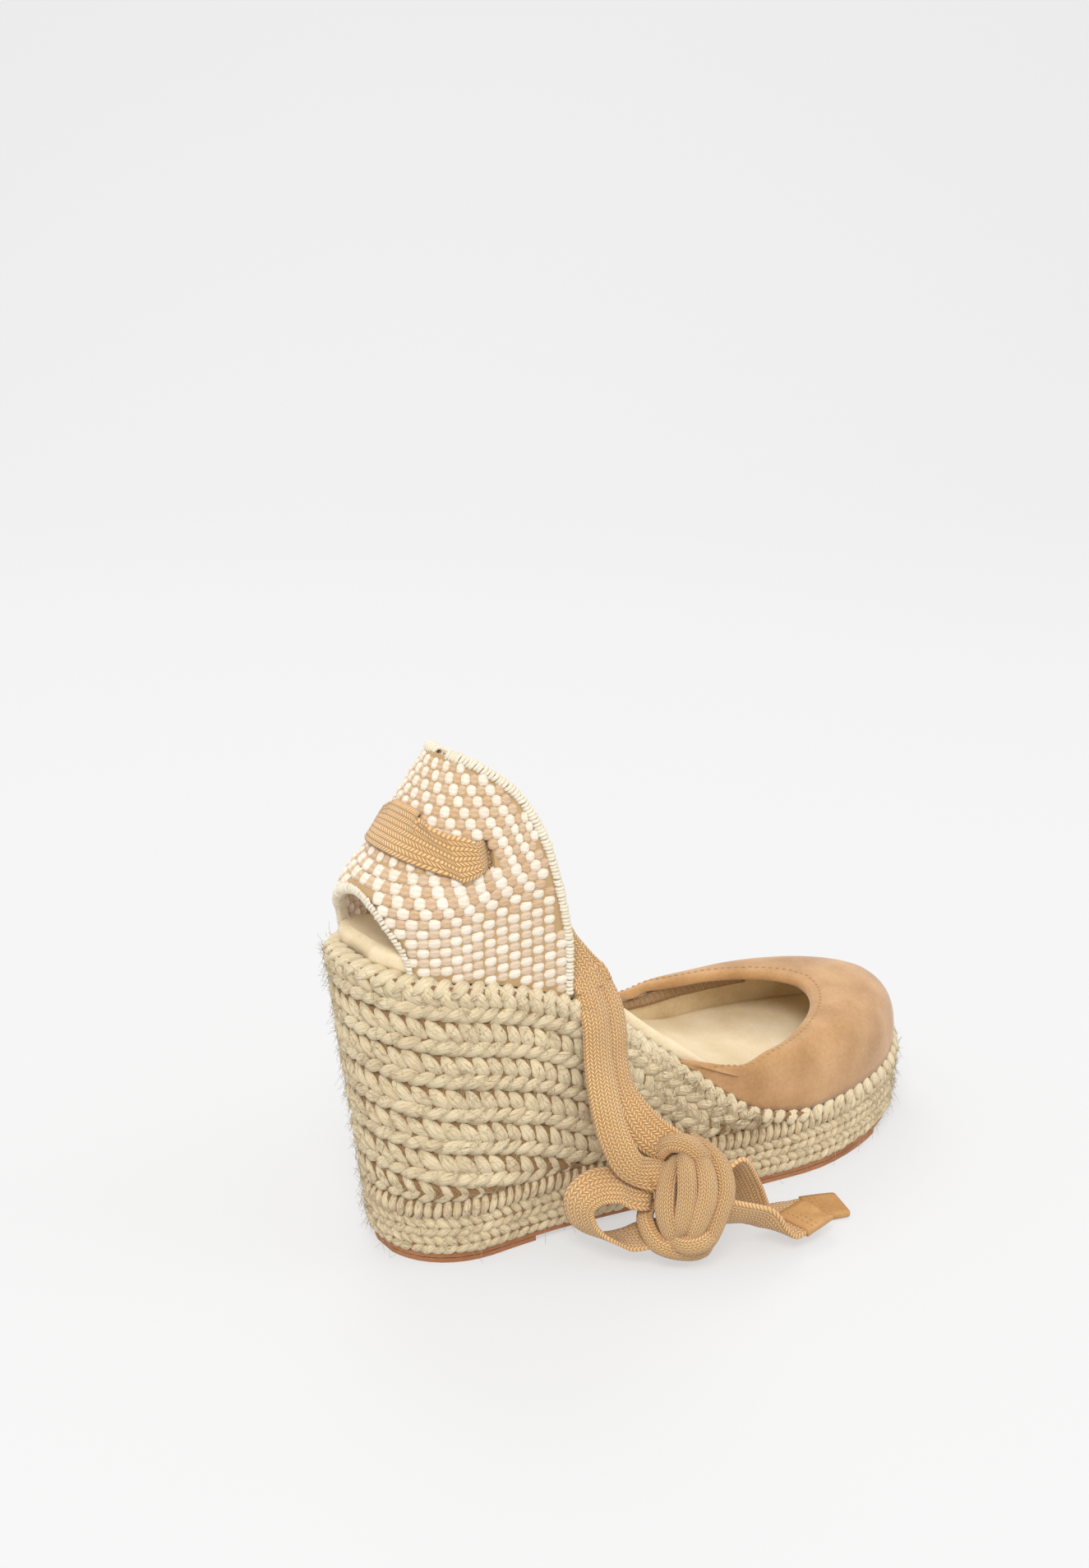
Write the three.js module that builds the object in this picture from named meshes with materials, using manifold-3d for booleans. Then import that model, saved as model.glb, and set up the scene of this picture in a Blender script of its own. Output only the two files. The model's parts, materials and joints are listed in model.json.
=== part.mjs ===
// Espadrille wedge sandal, right foot, with its ankle tie knotted and lying beside the heel.
// Millimetres. +X runs from heel to toe, +Z up, the outer (lateral) side of the foot faces -Y.
// The sandal stands on Z = 0.
import * as THREE from 'three';
import { mergeVertices } from 'three/addons/utils/BufferGeometryUtils.js';
import Module from 'manifold-3d';

const wasm = await Module();
wasm.setup();

// ---- driving dimensions -------------------------------------------------------------------
const SOLE_LENGTH = 228;
const HEEL_HEIGHT = 101;        // seat edge above the ground at the back of the heel
const HEEL_WIDTH = 62;
const WAIST_WIDTH = 65;
const BALL_WIDTH = 83;
const HEEL_UNDERCUT = 12;       // how far the back of the wedge leans in towards the ground
const TOE_UNDERCUT = 3;
const BASE_HEEL_WIDTH = 50;
const BASE_BALL_WIDTH = 83;
const TOE_SPRING = 3.6;         // lift of the toe tip off the ground

const GAP = 0.3;                // clearance between pieces that touch
const CORE_CLEAR = 0.9;         // clearance behind the curved plaited rows
const TREAD = 1.6;              // heel and forefoot rubber treads
const OUTSOLE = 1.7;            // full-length rubber sheet above the treads
const BAND_ROWS = 3;            // plaited rows that run right round the base
const BAND_ROW_HEIGHT = 6.3;
const WEDGE_ROWS = 7;
const LAST_ROW = 8.6;           // height of the lowest wedge row at the back of the heel
const BRAID_DEPTH = 4;          // thickness of a plaited row
const BRAID_CROWN = 0.9;        // how far a row bulges past its own edges

const BOARD = 1.8;
const FOAM = 2;
const SOCK = 1;
const INSOLE_INSET = 5.9;
const SEAT_CLEAR = 0.6;         // clearance over the curved seat

const SUEDE = 1.2;
const PUFF = 0.6;
const LINING = 0.8;
const VAMP_INSET = 1.2;
const TOE_CAP = 42;             // from the front of the foot opening to the toe tip
const SIDE_OPENING = 41.5;      // bare seat at each side between the counter and the vamp
const TOE_BOX_HEIGHT = 27;      // top of the throat above the seat

const WEAVE = 1.6;              // thickness of the woven heel counter
const COUNTER_INSET = 3.5;
const COUNTER_FRONT = 64.5;
const COUNTER_RISE = 60;        // the counter's peak above the seat at the heel
const CUTOUT_HALF_WIDTH = 21.5;
const CUTOUT_HEIGHT = 21;
const BINDING_RADIUS = 1;

const TAPE_WIDTH = 13;
const TAPE_THICKNESS = 1.5;
const SLOT_X = 37;
const SLOT_WIDTH = 5.4;
const SLOT_RISE = 32.5;         // middle of the slots above the seat at the heel
const BAND_RISE = 38;           // middle of the band at the back of the heel
const INNER_RISE = 24.1;         // middle of the band's ends above the seat beside them
const INNER_SETBACK = 6.5;      // from the counter's front edge back to the band's ends
const TIP_LENGTH = 11;

// ---- places that follow from them ----------------------------------------------------------
const OUTSOLE_BOTTOM = TREAD + GAP;
const OUTSOLE_TOP = OUTSOLE_BOTTOM + OUTSOLE;
const BAND_BOTTOM = OUTSOLE_TOP + GAP;
const BAND_TOP = BAND_BOTTOM + BAND_ROWS * BAND_ROW_HEIGHT - GAP;
const FOREFOOT_HEIGHT = BAND_TOP + CORE_CLEAR;    // seat edge under the ball of the foot
const THROAT_FRONT = SOLE_LENGTH - TOE_CAP;
const WING_END = COUNTER_FRONT + SIDE_OPENING;
const COUNTER_TOP = HEEL_HEIGHT + COUNTER_RISE;
const SLOT_Z = HEEL_HEIGHT + SLOT_RISE;

// ---- small helpers ------------------------------------------------------------------------
const V = (x, y, z) => new THREE.Vector3(x, y, z);
const mix = THREE.MathUtils.lerp;
const range = (n, f) => Array.from({ length: n }, (_, i) => f(i));

// Smooth curve through [x, value] pairs that never overshoots them.
function profile(pairs) {
  const xs = pairs.map((p) => p[0]);
  const ys = pairs.map((p) => p[1]);
  const step = range(xs.length - 1, (i) => (ys[i + 1] - ys[i]) / (xs[i + 1] - xs[i]));
  const slope = xs.map((_, i) => {
    if (i === 0 || i === xs.length - 1) return step[Math.min(i, step.length - 1)];
    const [a, b] = [step[i - 1], step[i]];
    return a * b <= 0 ? 0 : (2 * a * b) / (a + b);
  });
  return (x) => {
    const at = THREE.MathUtils.clamp(x, xs[0], xs[xs.length - 1]);
    const i = Math.max(0, Math.min(xs.length - 2, xs.findIndex((v) => v > at) - 1));
    const k = x >= xs[xs.length - 1] ? xs.length - 2 : i;
    const w = xs[k + 1] - xs[k];
    const t = (at - xs[k]) / w;
    const [a, b] = [ys[k], ys[k + 1]];
    const bend = (slope[k] * (1 - t) - slope[k + 1] * t) * w + (b - a) * (2 * t - 1);
    return mix(a, b, t) + t * (1 - t) * bend;
  };
}

// Closed skin over sections of equal point count. Each section is two rails, out and back,
// so its ends close as a ladder. A ring joins its last section to its first.
function loft(sections, ring = false) {
  const n = sections[0].length;
  const position = sections.flat().flatMap((p) => [p.x, p.y, p.z]);
  const index = [];
  const spans = ring ? sections.length : sections.length - 1;
  for (let s = 0; s < spans; s++) {
    const a = s * n;
    const b = ((s + 1) % sections.length) * n;
    for (let i = 0; i < n; i++) {
      const j = (i + 1) % n;
      index.push(a + i, a + j, b + j, a + i, b + j, b + i);
    }
  }
  if (!ring) {
    const last = (sections.length - 1) * n;
    for (let i = 0; i < n / 2 - 1; i++) {
      const j = n - 1 - i;
      index.push(i, j - 1, i + 1, i, j, j - 1);
      index.push(last + i, last + i + 1, last + j - 1, last + i, last + j - 1, last + j);
    }
  }
  const geometry = new THREE.BufferGeometry();
  geometry.setAttribute('position', new THREE.Float32BufferAttribute(position, 3));
  geometry.setIndex(index);
  return faceOut(geometry);
}

function faceOut(geometry) {
  const p = geometry.getAttribute('position');
  const ix = geometry.getIndex().array;
  const at = (i) => V(p.getX(i), p.getY(i), p.getZ(i));
  let volume = 0;
  for (let i = 0; i < ix.length; i += 3) volume += at(ix[i]).dot(at(ix[i + 1]).cross(at(ix[i + 2])));
  if (volume < 0) {
    for (let i = 0; i < ix.length; i += 3) [ix[i], ix[i + 1]] = [ix[i + 1], ix[i]];
  }
  return geometry;
}

function solid(geometry) {
  const bare = geometry.clone();
  bare.deleteAttribute('normal');
  bare.deleteAttribute('uv');
  const merged = mergeVertices(bare, 1e-4);
  return new wasm.Manifold(new wasm.Mesh({
    numProp: 3,
    vertProperties: new Float32Array(merged.getAttribute('position').array),
    triVerts: new Uint32Array(merged.getIndex().array),
  }));
}

function skin(manifold) {
  const mesh = manifold.getMesh();
  const geometry = new THREE.BufferGeometry();
  geometry.setAttribute('position', new THREE.Float32BufferAttribute(mesh.vertProperties, 3));
  geometry.setIndex(Array.from(mesh.triVerts));
  return geometry;
}

// A flat outline of [x, z] points, pushed sideways from y0 to y1.
function sidePrism(points, y0, y1) {
  const shape = new THREE.Shape(points.map(([x, z]) => new THREE.Vector2(x, z)));
  return new THREE.ExtrudeGeometry(shape, { depth: y1 - y0, bevelEnabled: false })
    .rotateX(Math.PI / 2)
    .translate(0, y1, 0);
}

// A flat outline of [y, z] points, pushed forward from x0 to x1.
function frontPrism(points, x0, x1) {
  const shape = new THREE.Shape(points.map(([y, z]) => new THREE.Vector2(y, z)));
  return new THREE.ExtrudeGeometry(shape, { depth: x1 - x0, bevelEnabled: false })
    .applyMatrix4(new THREE.Matrix4().set(0, 0, 1, 0, 1, 0, 0, 0, 0, 1, 0, 0, 0, 0, 0, 1))
    .translate(x0, 0, 0);
}

const root = new THREE.Group();

function add(name, geometry, finish) {
  const mesh = new THREE.Mesh(geometry, new THREE.MeshStandardMaterial(finish));
  mesh.name = name;
  root.add(mesh);
  return mesh;
}

const JUTE = { color: '#c3a478', roughness: 0.95, metalness: 0 };
const RUBBER = { color: '#a5704d', roughness: 0.7, metalness: 0 };
const CORK = { color: '#b08a5c', roughness: 0.9, metalness: 0 };
const EVA = { color: '#d9cbb4', roughness: 0.8, metalness: 0 };
const FIBREBOARD = { color: '#8d7357', roughness: 0.9, metalness: 0 };
const FOAM_FINISH = { color: '#e8dcc6', roughness: 0.9, metalness: 0 };
const CREAM_LEATHER = { color: '#d8c29b', roughness: 0.6, metalness: 0 };
const SUEDE_FINISH = { color: '#c2976a', roughness: 0.95, metalness: 0 };
const WOVEN = { color: '#e4d8c3', roughness: 0.95, metalness: 0 };
const COTTON = { color: '#efe6d6', roughness: 0.95, metalness: 0 };
const TAPE = { color: '#c6975a', roughness: 0.9, metalness: 0 };
const TIP_LEATHER = { color: '#c08f5e', roughness: 0.55, metalness: 0 };

// ---- the sole's outline -------------------------------------------------------------------
// A place on the edge is given by q: 0 at the back of the heel, -1 or 1 at the toe tip, negative
// on the outer side. level 0 is the ground outline and 1 the seat outline.
const TOP_HALF = profile([
  [0, HEEL_WIDTH / 2], [0.3, HEEL_WIDTH / 2], [0.43, WAIST_WIDTH / 2],
  [0.6, BALL_WIDTH * 0.48], [0.72, BALL_WIDTH / 2], [0.88, BALL_WIDTH * 0.485], [1, BALL_WIDTH * 0.46],
]);
const BASE_HALF = profile([
  [0, BASE_HEEL_WIDTH / 2], [0.15, BASE_HEEL_WIDTH / 2], [0.4, WAIST_WIDTH * 0.46],
  [0.6, BASE_BALL_WIDTH * 0.46], [0.72, BASE_BALL_WIDTH / 2], [0.88, BASE_BALL_WIDTH * 0.49],
  [1, BASE_BALL_WIDTH * 0.465],
]);
const CENTRE_SHIFT = profile([[0, 0], [0.25, 0], [0.42, -1], [0.72, 0.6], [1, 4]]);
const HEEL_ROUND = 0.135;       // share of the length over which the heel and toe round off
const TOE_ROUND = 0.37;
const SEAT_DROP = profile([
  [0, 0], [0.155, 0.1], [0.31, 0.29], [0.46, 0.64], [0.6, 0.94], [0.7, 1], [1, 1],
]);

const spring = (s) => TOE_SPRING * Math.max(0, (s - 0.86) / 0.14) ** 2;
const seatAt = (s) => mix(HEEL_HEIGHT, FOREFOOT_HEIGHT, SEAT_DROP(s)) + spring(s);
const along = (q) => (1 - Math.cos(Math.PI * Math.abs(q))) / 2;
const placeOf = (s) => Math.acos(1 - 2 * s) / Math.PI;

function roundOff(s) {
  const heel = Math.max(0, (HEEL_ROUND - s) / HEEL_ROUND) ** 2.2;
  const toe = Math.max(0, (s - (1 - TOE_ROUND)) / TOE_ROUND) ** 2.5;
  return Math.sqrt(Math.max(0, 1 - heel)) * Math.sqrt(Math.max(0, 1 - toe));
}

function edgeRaw(q, level) {
  const s = along(q);
  const x = mix(mix(HEEL_UNDERCUT, 0, level), mix(SOLE_LENGTH - TOE_UNDERCUT, SOLE_LENGTH, level), s);
  const half = mix(BASE_HALF(s), TOP_HALF(s), level) * roundOff(s);
  return V(x, CENTRE_SHIFT(s) + Math.sign(q) * half, 0);
}

const wrap = (q) => (q > 1 ? q - 2 : q < -1 ? q + 2 : q);

function outward(q, level) {
  const step = 0.012;
  const t = edgeRaw(wrap(q + step), level).sub(edgeRaw(wrap(q - step), level)).normalize();
  return V(-t.y, t.x, 0);
}

// The point on the sole's side at height z, moved inwards by inset.
function sidePoint(q, z, inset) {
  const s = along(q);
  const level = THREE.MathUtils.clamp((z - spring(s)) / (seatAt(s) - spring(s)), 0, 1);
  const out = outward(q, level);
  const p = edgeRaw(q, level).addScaledVector(out, -inset);
  return V(p.x, p.y, z);
}

// A plaited row: a crowned strip of the sole's side between two heights at each place.
function rowSection(q, zBottom, zTop) {
  const tall = zTop - zBottom;
  const edge = Math.min(BRAID_CROWN, tall * 0.4);
  return [
    sidePoint(q, zTop, BRAID_DEPTH), sidePoint(q, zTop, edge), sidePoint(q, zTop - tall * 0.25, 0),
    sidePoint(q, zBottom + tall * 0.25, 0), sidePoint(q, zBottom, edge), sidePoint(q, zBottom, BRAID_DEPTH),
  ];
}

// A slab of the sole between two heights, inset from its edge.
function slab(qFrom, qTo, steps, inset, bottomOf, topOf) {
  return loft(range(steps + 1, (i) => {
    const q = mix(qFrom, qTo, i / steps);
    const s = along(q);
    const [z0, z1] = [bottomOf(s), topOf(s)];
    return [
      sidePoint(-q, z0, inset), sidePoint(-q, z1, inset), sidePoint(q, z1, inset), sidePoint(q, z0, inset),
    ];
  }));
}

// ---- rubber -------------------------------------------------------------------------------
const HEEL_TREAD_END = 0.2;
const FORE_TREAD = [0.52, 0.86];

add('outsole_sheet', slab(0.03, 0.97, 26, 0.6,
  (s) => OUTSOLE_BOTTOM + spring(s), (s) => OUTSOLE_TOP + spring(s)), RUBBER);
add('heel_tread', slab(0.03, placeOf(HEEL_TREAD_END), 12, 0.8, () => 0, () => TREAD), RUBBER);
add('forefoot_tread', slab(placeOf(FORE_TREAD[0]), placeOf(FORE_TREAD[1]), 10, 0.8,
  () => 0, () => TREAD), RUBBER);

// ---- base band: rows that run right round the sole ------------------------------------------
const BAND_NAMES = ['base_braid_lower', 'base_braid_upper', 'base_stitched_row'];
const BAND_STEPS = 44;

BAND_NAMES.forEach((name, k) => {
  const z0 = BAND_BOTTOM + k * BAND_ROW_HEIGHT;
  const sections = range(BAND_STEPS, (i) => {
    const q = -1 + (2 * i) / BAND_STEPS;
    const lift = spring(along(q));
    return rowSection(q, z0 + lift, z0 + BAND_ROW_HEIGHT - GAP + lift);
  });
  add(name, loft(sections, true), JUTE);
});
add('platform_core', slab(0.05, 0.95, 36, BRAID_DEPTH + CORE_CLEAR,
  (s) => BAND_BOTTOM + spring(s), (s) => BAND_TOP + spring(s)), EVA);

// ---- wedge: slanted rows that follow the seat, cut off by the base band ---------------------
const WEDGE_FLOOR = BAND_TOP + GAP;
const WEDGE_ROW_PITCH = (HEEL_HEIGHT - WEDGE_FLOOR - LAST_ROW) / (WEDGE_ROWS - 1);
const THINNEST_ROW = 1;
const ROW_GRID = 20;            // steps from the back of the heel to the end of the longest row

function rowEnd(k) {
  let [low, high] = [0.02, 0.7];
  while (high - low > 1e-4) {
    const s = (low + high) / 2;
    if (seatAt(s) - k * WEDGE_ROW_PITCH - WEDGE_FLOOR > THINNEST_ROW) low = s;
    else high = s;
  }
  return low;
}

const gridStep = placeOf(rowEnd(0)) / ROW_GRID;
range(WEDGE_ROWS, (k) => {
  const end = placeOf(rowEnd(k));
  const places = [...range(Math.ceil(end / gridStep - 0.3), (i) => i * gridStep), end];
  const sections = [...places.slice(1).toReversed().map((q) => -q), ...places].map((q) => {
    const top = seatAt(along(q)) - k * WEDGE_ROW_PITCH;
    return rowSection(q, Math.max(WEDGE_FLOOR, top - WEDGE_ROW_PITCH + GAP), top);
  });
  add(`wedge_braid_${k + 1}`, loft(sections), JUTE);
});
const CORE_END = placeOf(rowEnd(0) - 0.01);
add('wedge_core', slab(0.05, CORE_END, 18, BRAID_DEPTH + CORE_CLEAR,
  () => WEDGE_FLOOR, (s) => seatAt(s) - GAP), CORK);

// ---- insole stack ---------------------------------------------------------------------------
const BOARD_BOTTOM = SEAT_CLEAR;
const FOAM_BOTTOM = BOARD_BOTTOM + BOARD + GAP;
const SOCK_BOTTOM = FOAM_BOTTOM + FOAM + GAP;
const layer = (bottom, thick) => slab(0.075, 0.93, 26, INSOLE_INSET,
  (s) => seatAt(s) + bottom, (s) => seatAt(s) + bottom + thick);
add('insole_board', layer(BOARD_BOTTOM, BOARD), FIBREBOARD);
add('footbed_foam', layer(FOAM_BOTTOM, FOAM), FOAM_FINISH);
add('insole_sock', layer(SOCK_BOTTOM, SOCK), CREAM_LEATHER);

// ---- vamp: suede, stiffener and lining, each an inward offset of one surface ----------------
// p runs from -1 at the outer wing round the toe to 1 at the inner wing; v from the foot (0)
// to the topline (1).
const WING_Q = placeOf(WING_END / SOLE_LENGTH) - 0.004;
const RISE = profile([[0, TOE_BOX_HEIGHT], [0.5, 25], [0.7, 21], [0.85, 11.5], [1, 2.5]]);

function vampFoot(p) {
  const q = Math.sign(p || 1) * (1 - Math.abs(p) * (1 - WING_Q));
  const at = sidePoint(q, seatAt(along(q)), VAMP_INSET);
  return { at: at.setZ(at.z + SEAT_CLEAR), out: outward(q, 1) };
}

function topline(p) {
  const x = WING_END + (THROAT_FRONT - WING_END) * Math.cos((Math.PI / 2) * p);
  const s = x / SOLE_LENGTH;
  const lean = mix(3, 1.5, Math.abs(p) ** 3);
  const y = CENTRE_SHIFT(s) + (TOP_HALF(s) - lean) * Math.sin((Math.PI / 2) * p);
  return V(x, y, seatAt(s) + RISE(Math.abs(p)));
}

function vampSurface(p, v) {
  const { at: foot, out } = vampFoot(p);
  const top = topline(p);
  const flat = V(foot.x - top.x, foot.y - top.y, 0);
  const reach = flat.length();
  const rise = top.z - foot.z;
  const c1 = foot.clone().addScaledVector(out, 0.5 + 0.03 * reach).setZ(foot.z + 0.85 * rise);
  const c2 = top.clone().addScaledVector(flat, 0.62).setZ(top.z + 0.07 * reach);
  return new THREE.CubicBezierCurve3(foot, c1, c2, top).getPoint(v);
}

function vampOffset(p, v, depth) {
  const e = 0.004;
  const dp = vampSurface(Math.min(1, p + e), v).sub(vampSurface(Math.max(-1, p - e), v));
  const dv = vampSurface(p, Math.min(1, v + e)).sub(vampSurface(p, Math.max(0, v - e)));
  const inward = dv.cross(dp).normalize();
  return vampSurface(p, v).addScaledVector(inward, depth);
}

function vampShell(pFrom, pTo, steps, vFrom, vTo, rungs, depth, thick) {
  return loft(range(steps + 1, (i) => {
    const p = mix(pFrom, pTo, i / steps);
    const rung = (k) => mix(vFrom, vTo, k / (rungs - 1));
    return [
      ...range(rungs, (k) => vampOffset(p, rung(k), depth)),
      ...range(rungs, (k) => vampOffset(p, rung(rungs - 1 - k), depth + thick)),
    ];
  }));
}

const PUFF_DEPTH = SUEDE + 2 * GAP;
const LINING_DEPTH = PUFF_DEPTH + PUFF + 2 * GAP;
add('vamp_suede', vampShell(-1, 1, 34, 0, 1, 7, 0, SUEDE), SUEDE_FINISH);
add('toe_puff', vampShell(-0.4, 0.4, 12, 0.06, 0.6, 4, PUFF_DEPTH, PUFF), FIBREBOARD);
add('vamp_lining', vampShell(-0.985, 0.985, 30, 0.02, 0.97, 6, LINING_DEPTH, LINING), CREAM_LEATHER);

// ---- woven heel counter ---------------------------------------------------------------------
// The cup leans forward as it rises: BACK is how far its back has come forward, HALF its half
// width, both against the height as a share of the cup's own height.
const BACK = profile([
  [0, 0], [0.2, 0], [0.3, 1.6], [0.4, 6.5], [0.5, 12.5], [0.62, 17.5], [0.76, 23], [0.9, 28.5], [1, 32.5],
]);
const LEAN = profile([[0, 0], [0.3, 0.6], [0.5, 2.2], [0.65, 4], [0.8, 6.6], [0.9, 9], [1, 12]]);

// A point on the cup at angle f round the heel (0 at the back), depth inwards from its face.
function cupPoint(f, z, depth) {
  const h = (z - HEEL_HEIGHT) / COUNTER_RISE;
  const half = HEEL_WIDTH / 2 - COUNTER_INSET - LEAN(h) - depth;
  const back = COUNTER_INSET + BACK(h) + depth;
  const reach = HEEL_ROUND * SOLE_LENGTH - COUNTER_INSET - depth - LEAN(h) * 0.5;
  const c = Math.cos(f);
  return V(back + reach * (1 - Math.sign(c) * Math.abs(c) ** 0.91), half * Math.sin(f), z);
}

// Round the heel first, then straight ahead past the counter's front edge.
function cupStation(k, z, depth) {
  const turn = Math.PI / 2;
  if (Math.abs(k) <= 1) return cupPoint(k * turn, z, depth);
  const p = cupPoint(Math.sign(k) * turn, z, depth);
  const x = mix(p.x, COUNTER_FRONT + 6, Math.abs(k) - 1);
  const s = Math.min(x, COUNTER_FRONT) / SOLE_LENGTH;
  const widening = TOP_HALF(s) - HEEL_WIDTH / 2;
  return V(x, CENTRE_SHIFT(s) + p.y + Math.sign(k) * widening, z);
}

// The station at which the cup, at height z, has come forward to x.
function stationAt(x, z, depth = 0) {
  let [low, high] = [0, 2];
  for (let i = 0; i < 24; i++) {
    const k = (low + high) / 2;
    if (cupStation(k, z, depth).x < x) low = k;
    else high = k;
  }
  return (low + high) / 2;
}

const CUP_LEVELS = 13;
const CUP_BOTTOM = seatAt(COUNTER_FRONT / SOLE_LENGTH) - 4;
const cupHeights = range(CUP_LEVELS, (i) => mix(CUP_BOTTOM, COUNTER_TOP + 4, i / (CUP_LEVELS - 1)));
const cupRound = [
  ...range(3, (i) => -2 + i / 3), ...range(23, (i) => -1 + i / 11), ...range(3, (i) => 1 + (i + 1) / 3),
];
const cupShell = loft(cupRound.map((k) => [
  ...cupHeights.map((z) => cupStation(k, z, 0)),
  ...cupHeights.toReversed().map((z) => cupStation(k, z, WEAVE)),
]));

// The counter's outline from the side: its foot on the seat, front edge, and rounded peak. An
// edge point is [distance behind COUNTER_FRONT, height as a share of the counter's rise].
const FOOT_CLEAR = 0.9;
const TRIM = BINDING_RADIUS + GAP;    // the binding sits just off the cut edge
const CUP_EDGE = [
  [0, -0.0167], [1.5, 0.15], [4.5, 0.3833], [7.5, 0.575], [14.5, 0.7917], [24, 0.9333], [31.5, 0.9883],
];
const edgeCurve = new THREE.SplineCurve(CUP_EDGE.map(([back, share]) =>
  new THREE.Vector2(COUNTER_FRONT - back, HEEL_HEIGHT + share * COUNTER_RISE)));
const footLine = range(9, (i) => {
  const x = mix(-8, COUNTER_FRONT, i / 8);
  return [x, seatAt(Math.max(0, x) / SOLE_LENGTH) + FOOT_CLEAR];
});
const rim = edgeCurve.getPoints(22).map((p) => [p.x, p.y]);
const sideOutline = [...footLine, ...rim, [12, COUNTER_TOP], [-8, COUNTER_TOP]];

const ARCH_SINK = 3;            // the arch springs from this far below the seat
const ARCH_FOOT = HEEL_HEIGHT - 20;
const arch = (clear) => range(17, (i) => {
  const a = (Math.PI * i) / 16;
  const rise = (CUTOUT_HEIGHT + ARCH_SINK - clear) * Math.sin(a);
  return [(CUTOUT_HALF_WIDTH - clear) * Math.cos(a), HEEL_HEIGHT - ARCH_SINK + rise];
});
const archTool = [...arch(0), [-CUTOUT_HALF_WIDTH, ARCH_FOOT], [CUTOUT_HALF_WIDTH, ARCH_FOOT]];
const SLOT_TALL = TAPE_WIDTH + 2 * GAP + 1;
const slot = (side) => {
  const g = new THREE.BoxGeometry(SLOT_WIDTH, 14, SLOT_TALL);
  return g.translate(SLOT_X, side * (HEEL_WIDTH / 2 - COUNTER_INSET - 2), SLOT_Z);
};

const counter = solid(cupShell)
  .intersect(solid(sidePrism(sideOutline, -60, 60)))
  .subtract(solid(frontPrism(archTool, -10, 24)))
  .subtract(solid(slot(-1)))
  .subtract(solid(slot(1)));
add('heel_counter', skin(counter), WOVEN);

// Overcast yarn along the counter's cut edges.
function cord(points, radius, steps, sides = 6) {
  const shape = new THREE.Shape(range(sides, (i) => {
    const a = (2 * Math.PI * i) / sides;
    return new THREE.Vector2(radius * Math.cos(a), radius * Math.sin(a));
  }));
  const path = new THREE.CatmullRomCurve3(points);
  return new THREE.ExtrudeGeometry(shape, { steps, bevelEnabled: false, extrudePath: path });
}

const rimStart = V(COUNTER_FRONT, 0, seatAt(COUNTER_FRONT / SOLE_LENGTH) + FOOT_CLEAR + 1.5);
const RIM_MID = mix(rimStart.z, HEEL_HEIGHT, 0.35);
const rimPath = [
  [rimStart.x, rimStart.z], [rimStart.x, RIM_MID], ...edgeCurve.getPoints(16).map((p) => [p.x, p.y]),
];
const rimNormal = (i) => {
  const a = rimPath[Math.max(0, i - 1)];
  const b = rimPath[Math.min(rimPath.length - 1, i + 1)];
  const d = Math.hypot(b[0] - a[0], b[1] - a[1]);
  return [(b[1] - a[1]) / d, -(b[0] - a[0]) / d];
};
const rimSide = (side) => rimPath.map(([x, z], i) => {
  const [nx, nz] = rimNormal(i);
  const p = cupStation(side * stationAt(x, z, WEAVE / 2), z, WEAVE / 2);
  return V(x + nx * TRIM, p.y, z + nz * TRIM);
}).filter((p) => Math.abs(p.y) > 3);
const innerRim = rimSide(1);
const crown = V(innerRim.at(-1).x - 0.8, 0, innerRim.at(-1).z + 0.2);
const rimBead = [...innerRim, crown, ...rimSide(-1).toReversed()];
add('counter_edge_binding', cord(rimBead, BINDING_RADIUS, 54), COTTON);

const archBead = arch(TRIM).slice(1, -1).map(([y, z]) => {
  const h = (z - HEEL_HEIGHT) / COUNTER_RISE;
  const half = HEEL_WIDTH / 2 - COUNTER_INSET - LEAN(h) - WEAVE / 2;
  return cupPoint(Math.asin(y / half), z, WEAVE / 2);
});
add('cutout_edge_binding', cord(archBead, BINDING_RADIUS, 26), COTTON);

// ---- ankle tie ------------------------------------------------------------------------------
// The band passes outside the back of the counter and in through a slot on each side. On the
// outer side it runs on along the inside to the counter's front edge, where the near strand
// goes on; on the inner side the far lead leaves it just past the slot and crosses the cup.
const BAND_BACK_Z = HEEL_HEIGHT + BAND_RISE;
const INNER_END_X = COUNTER_FRONT - INNER_SETBACK;
const INNER_END = [INNER_END_X, seatAt(INNER_END_X / SOLE_LENGTH) + INNER_RISE];
const OUTER_FACE = -(TAPE_THICKNESS + CORE_CLEAR);
const INNER_FACE = WEAVE + CORE_CLEAR;

function bandSection(side, stationOf, z, depth, tall) {
  const heights = [z - tall / 2, z - tall / 6, z + tall / 6, z + tall / 2];
  return [
    ...heights.map((h) => cupStation(side * stationOf(h), h, depth)),
    ...heights.toReversed().map((h) => cupStation(side * stationOf(h), h, depth + TAPE_THICKNESS)),
  ];
}

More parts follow.
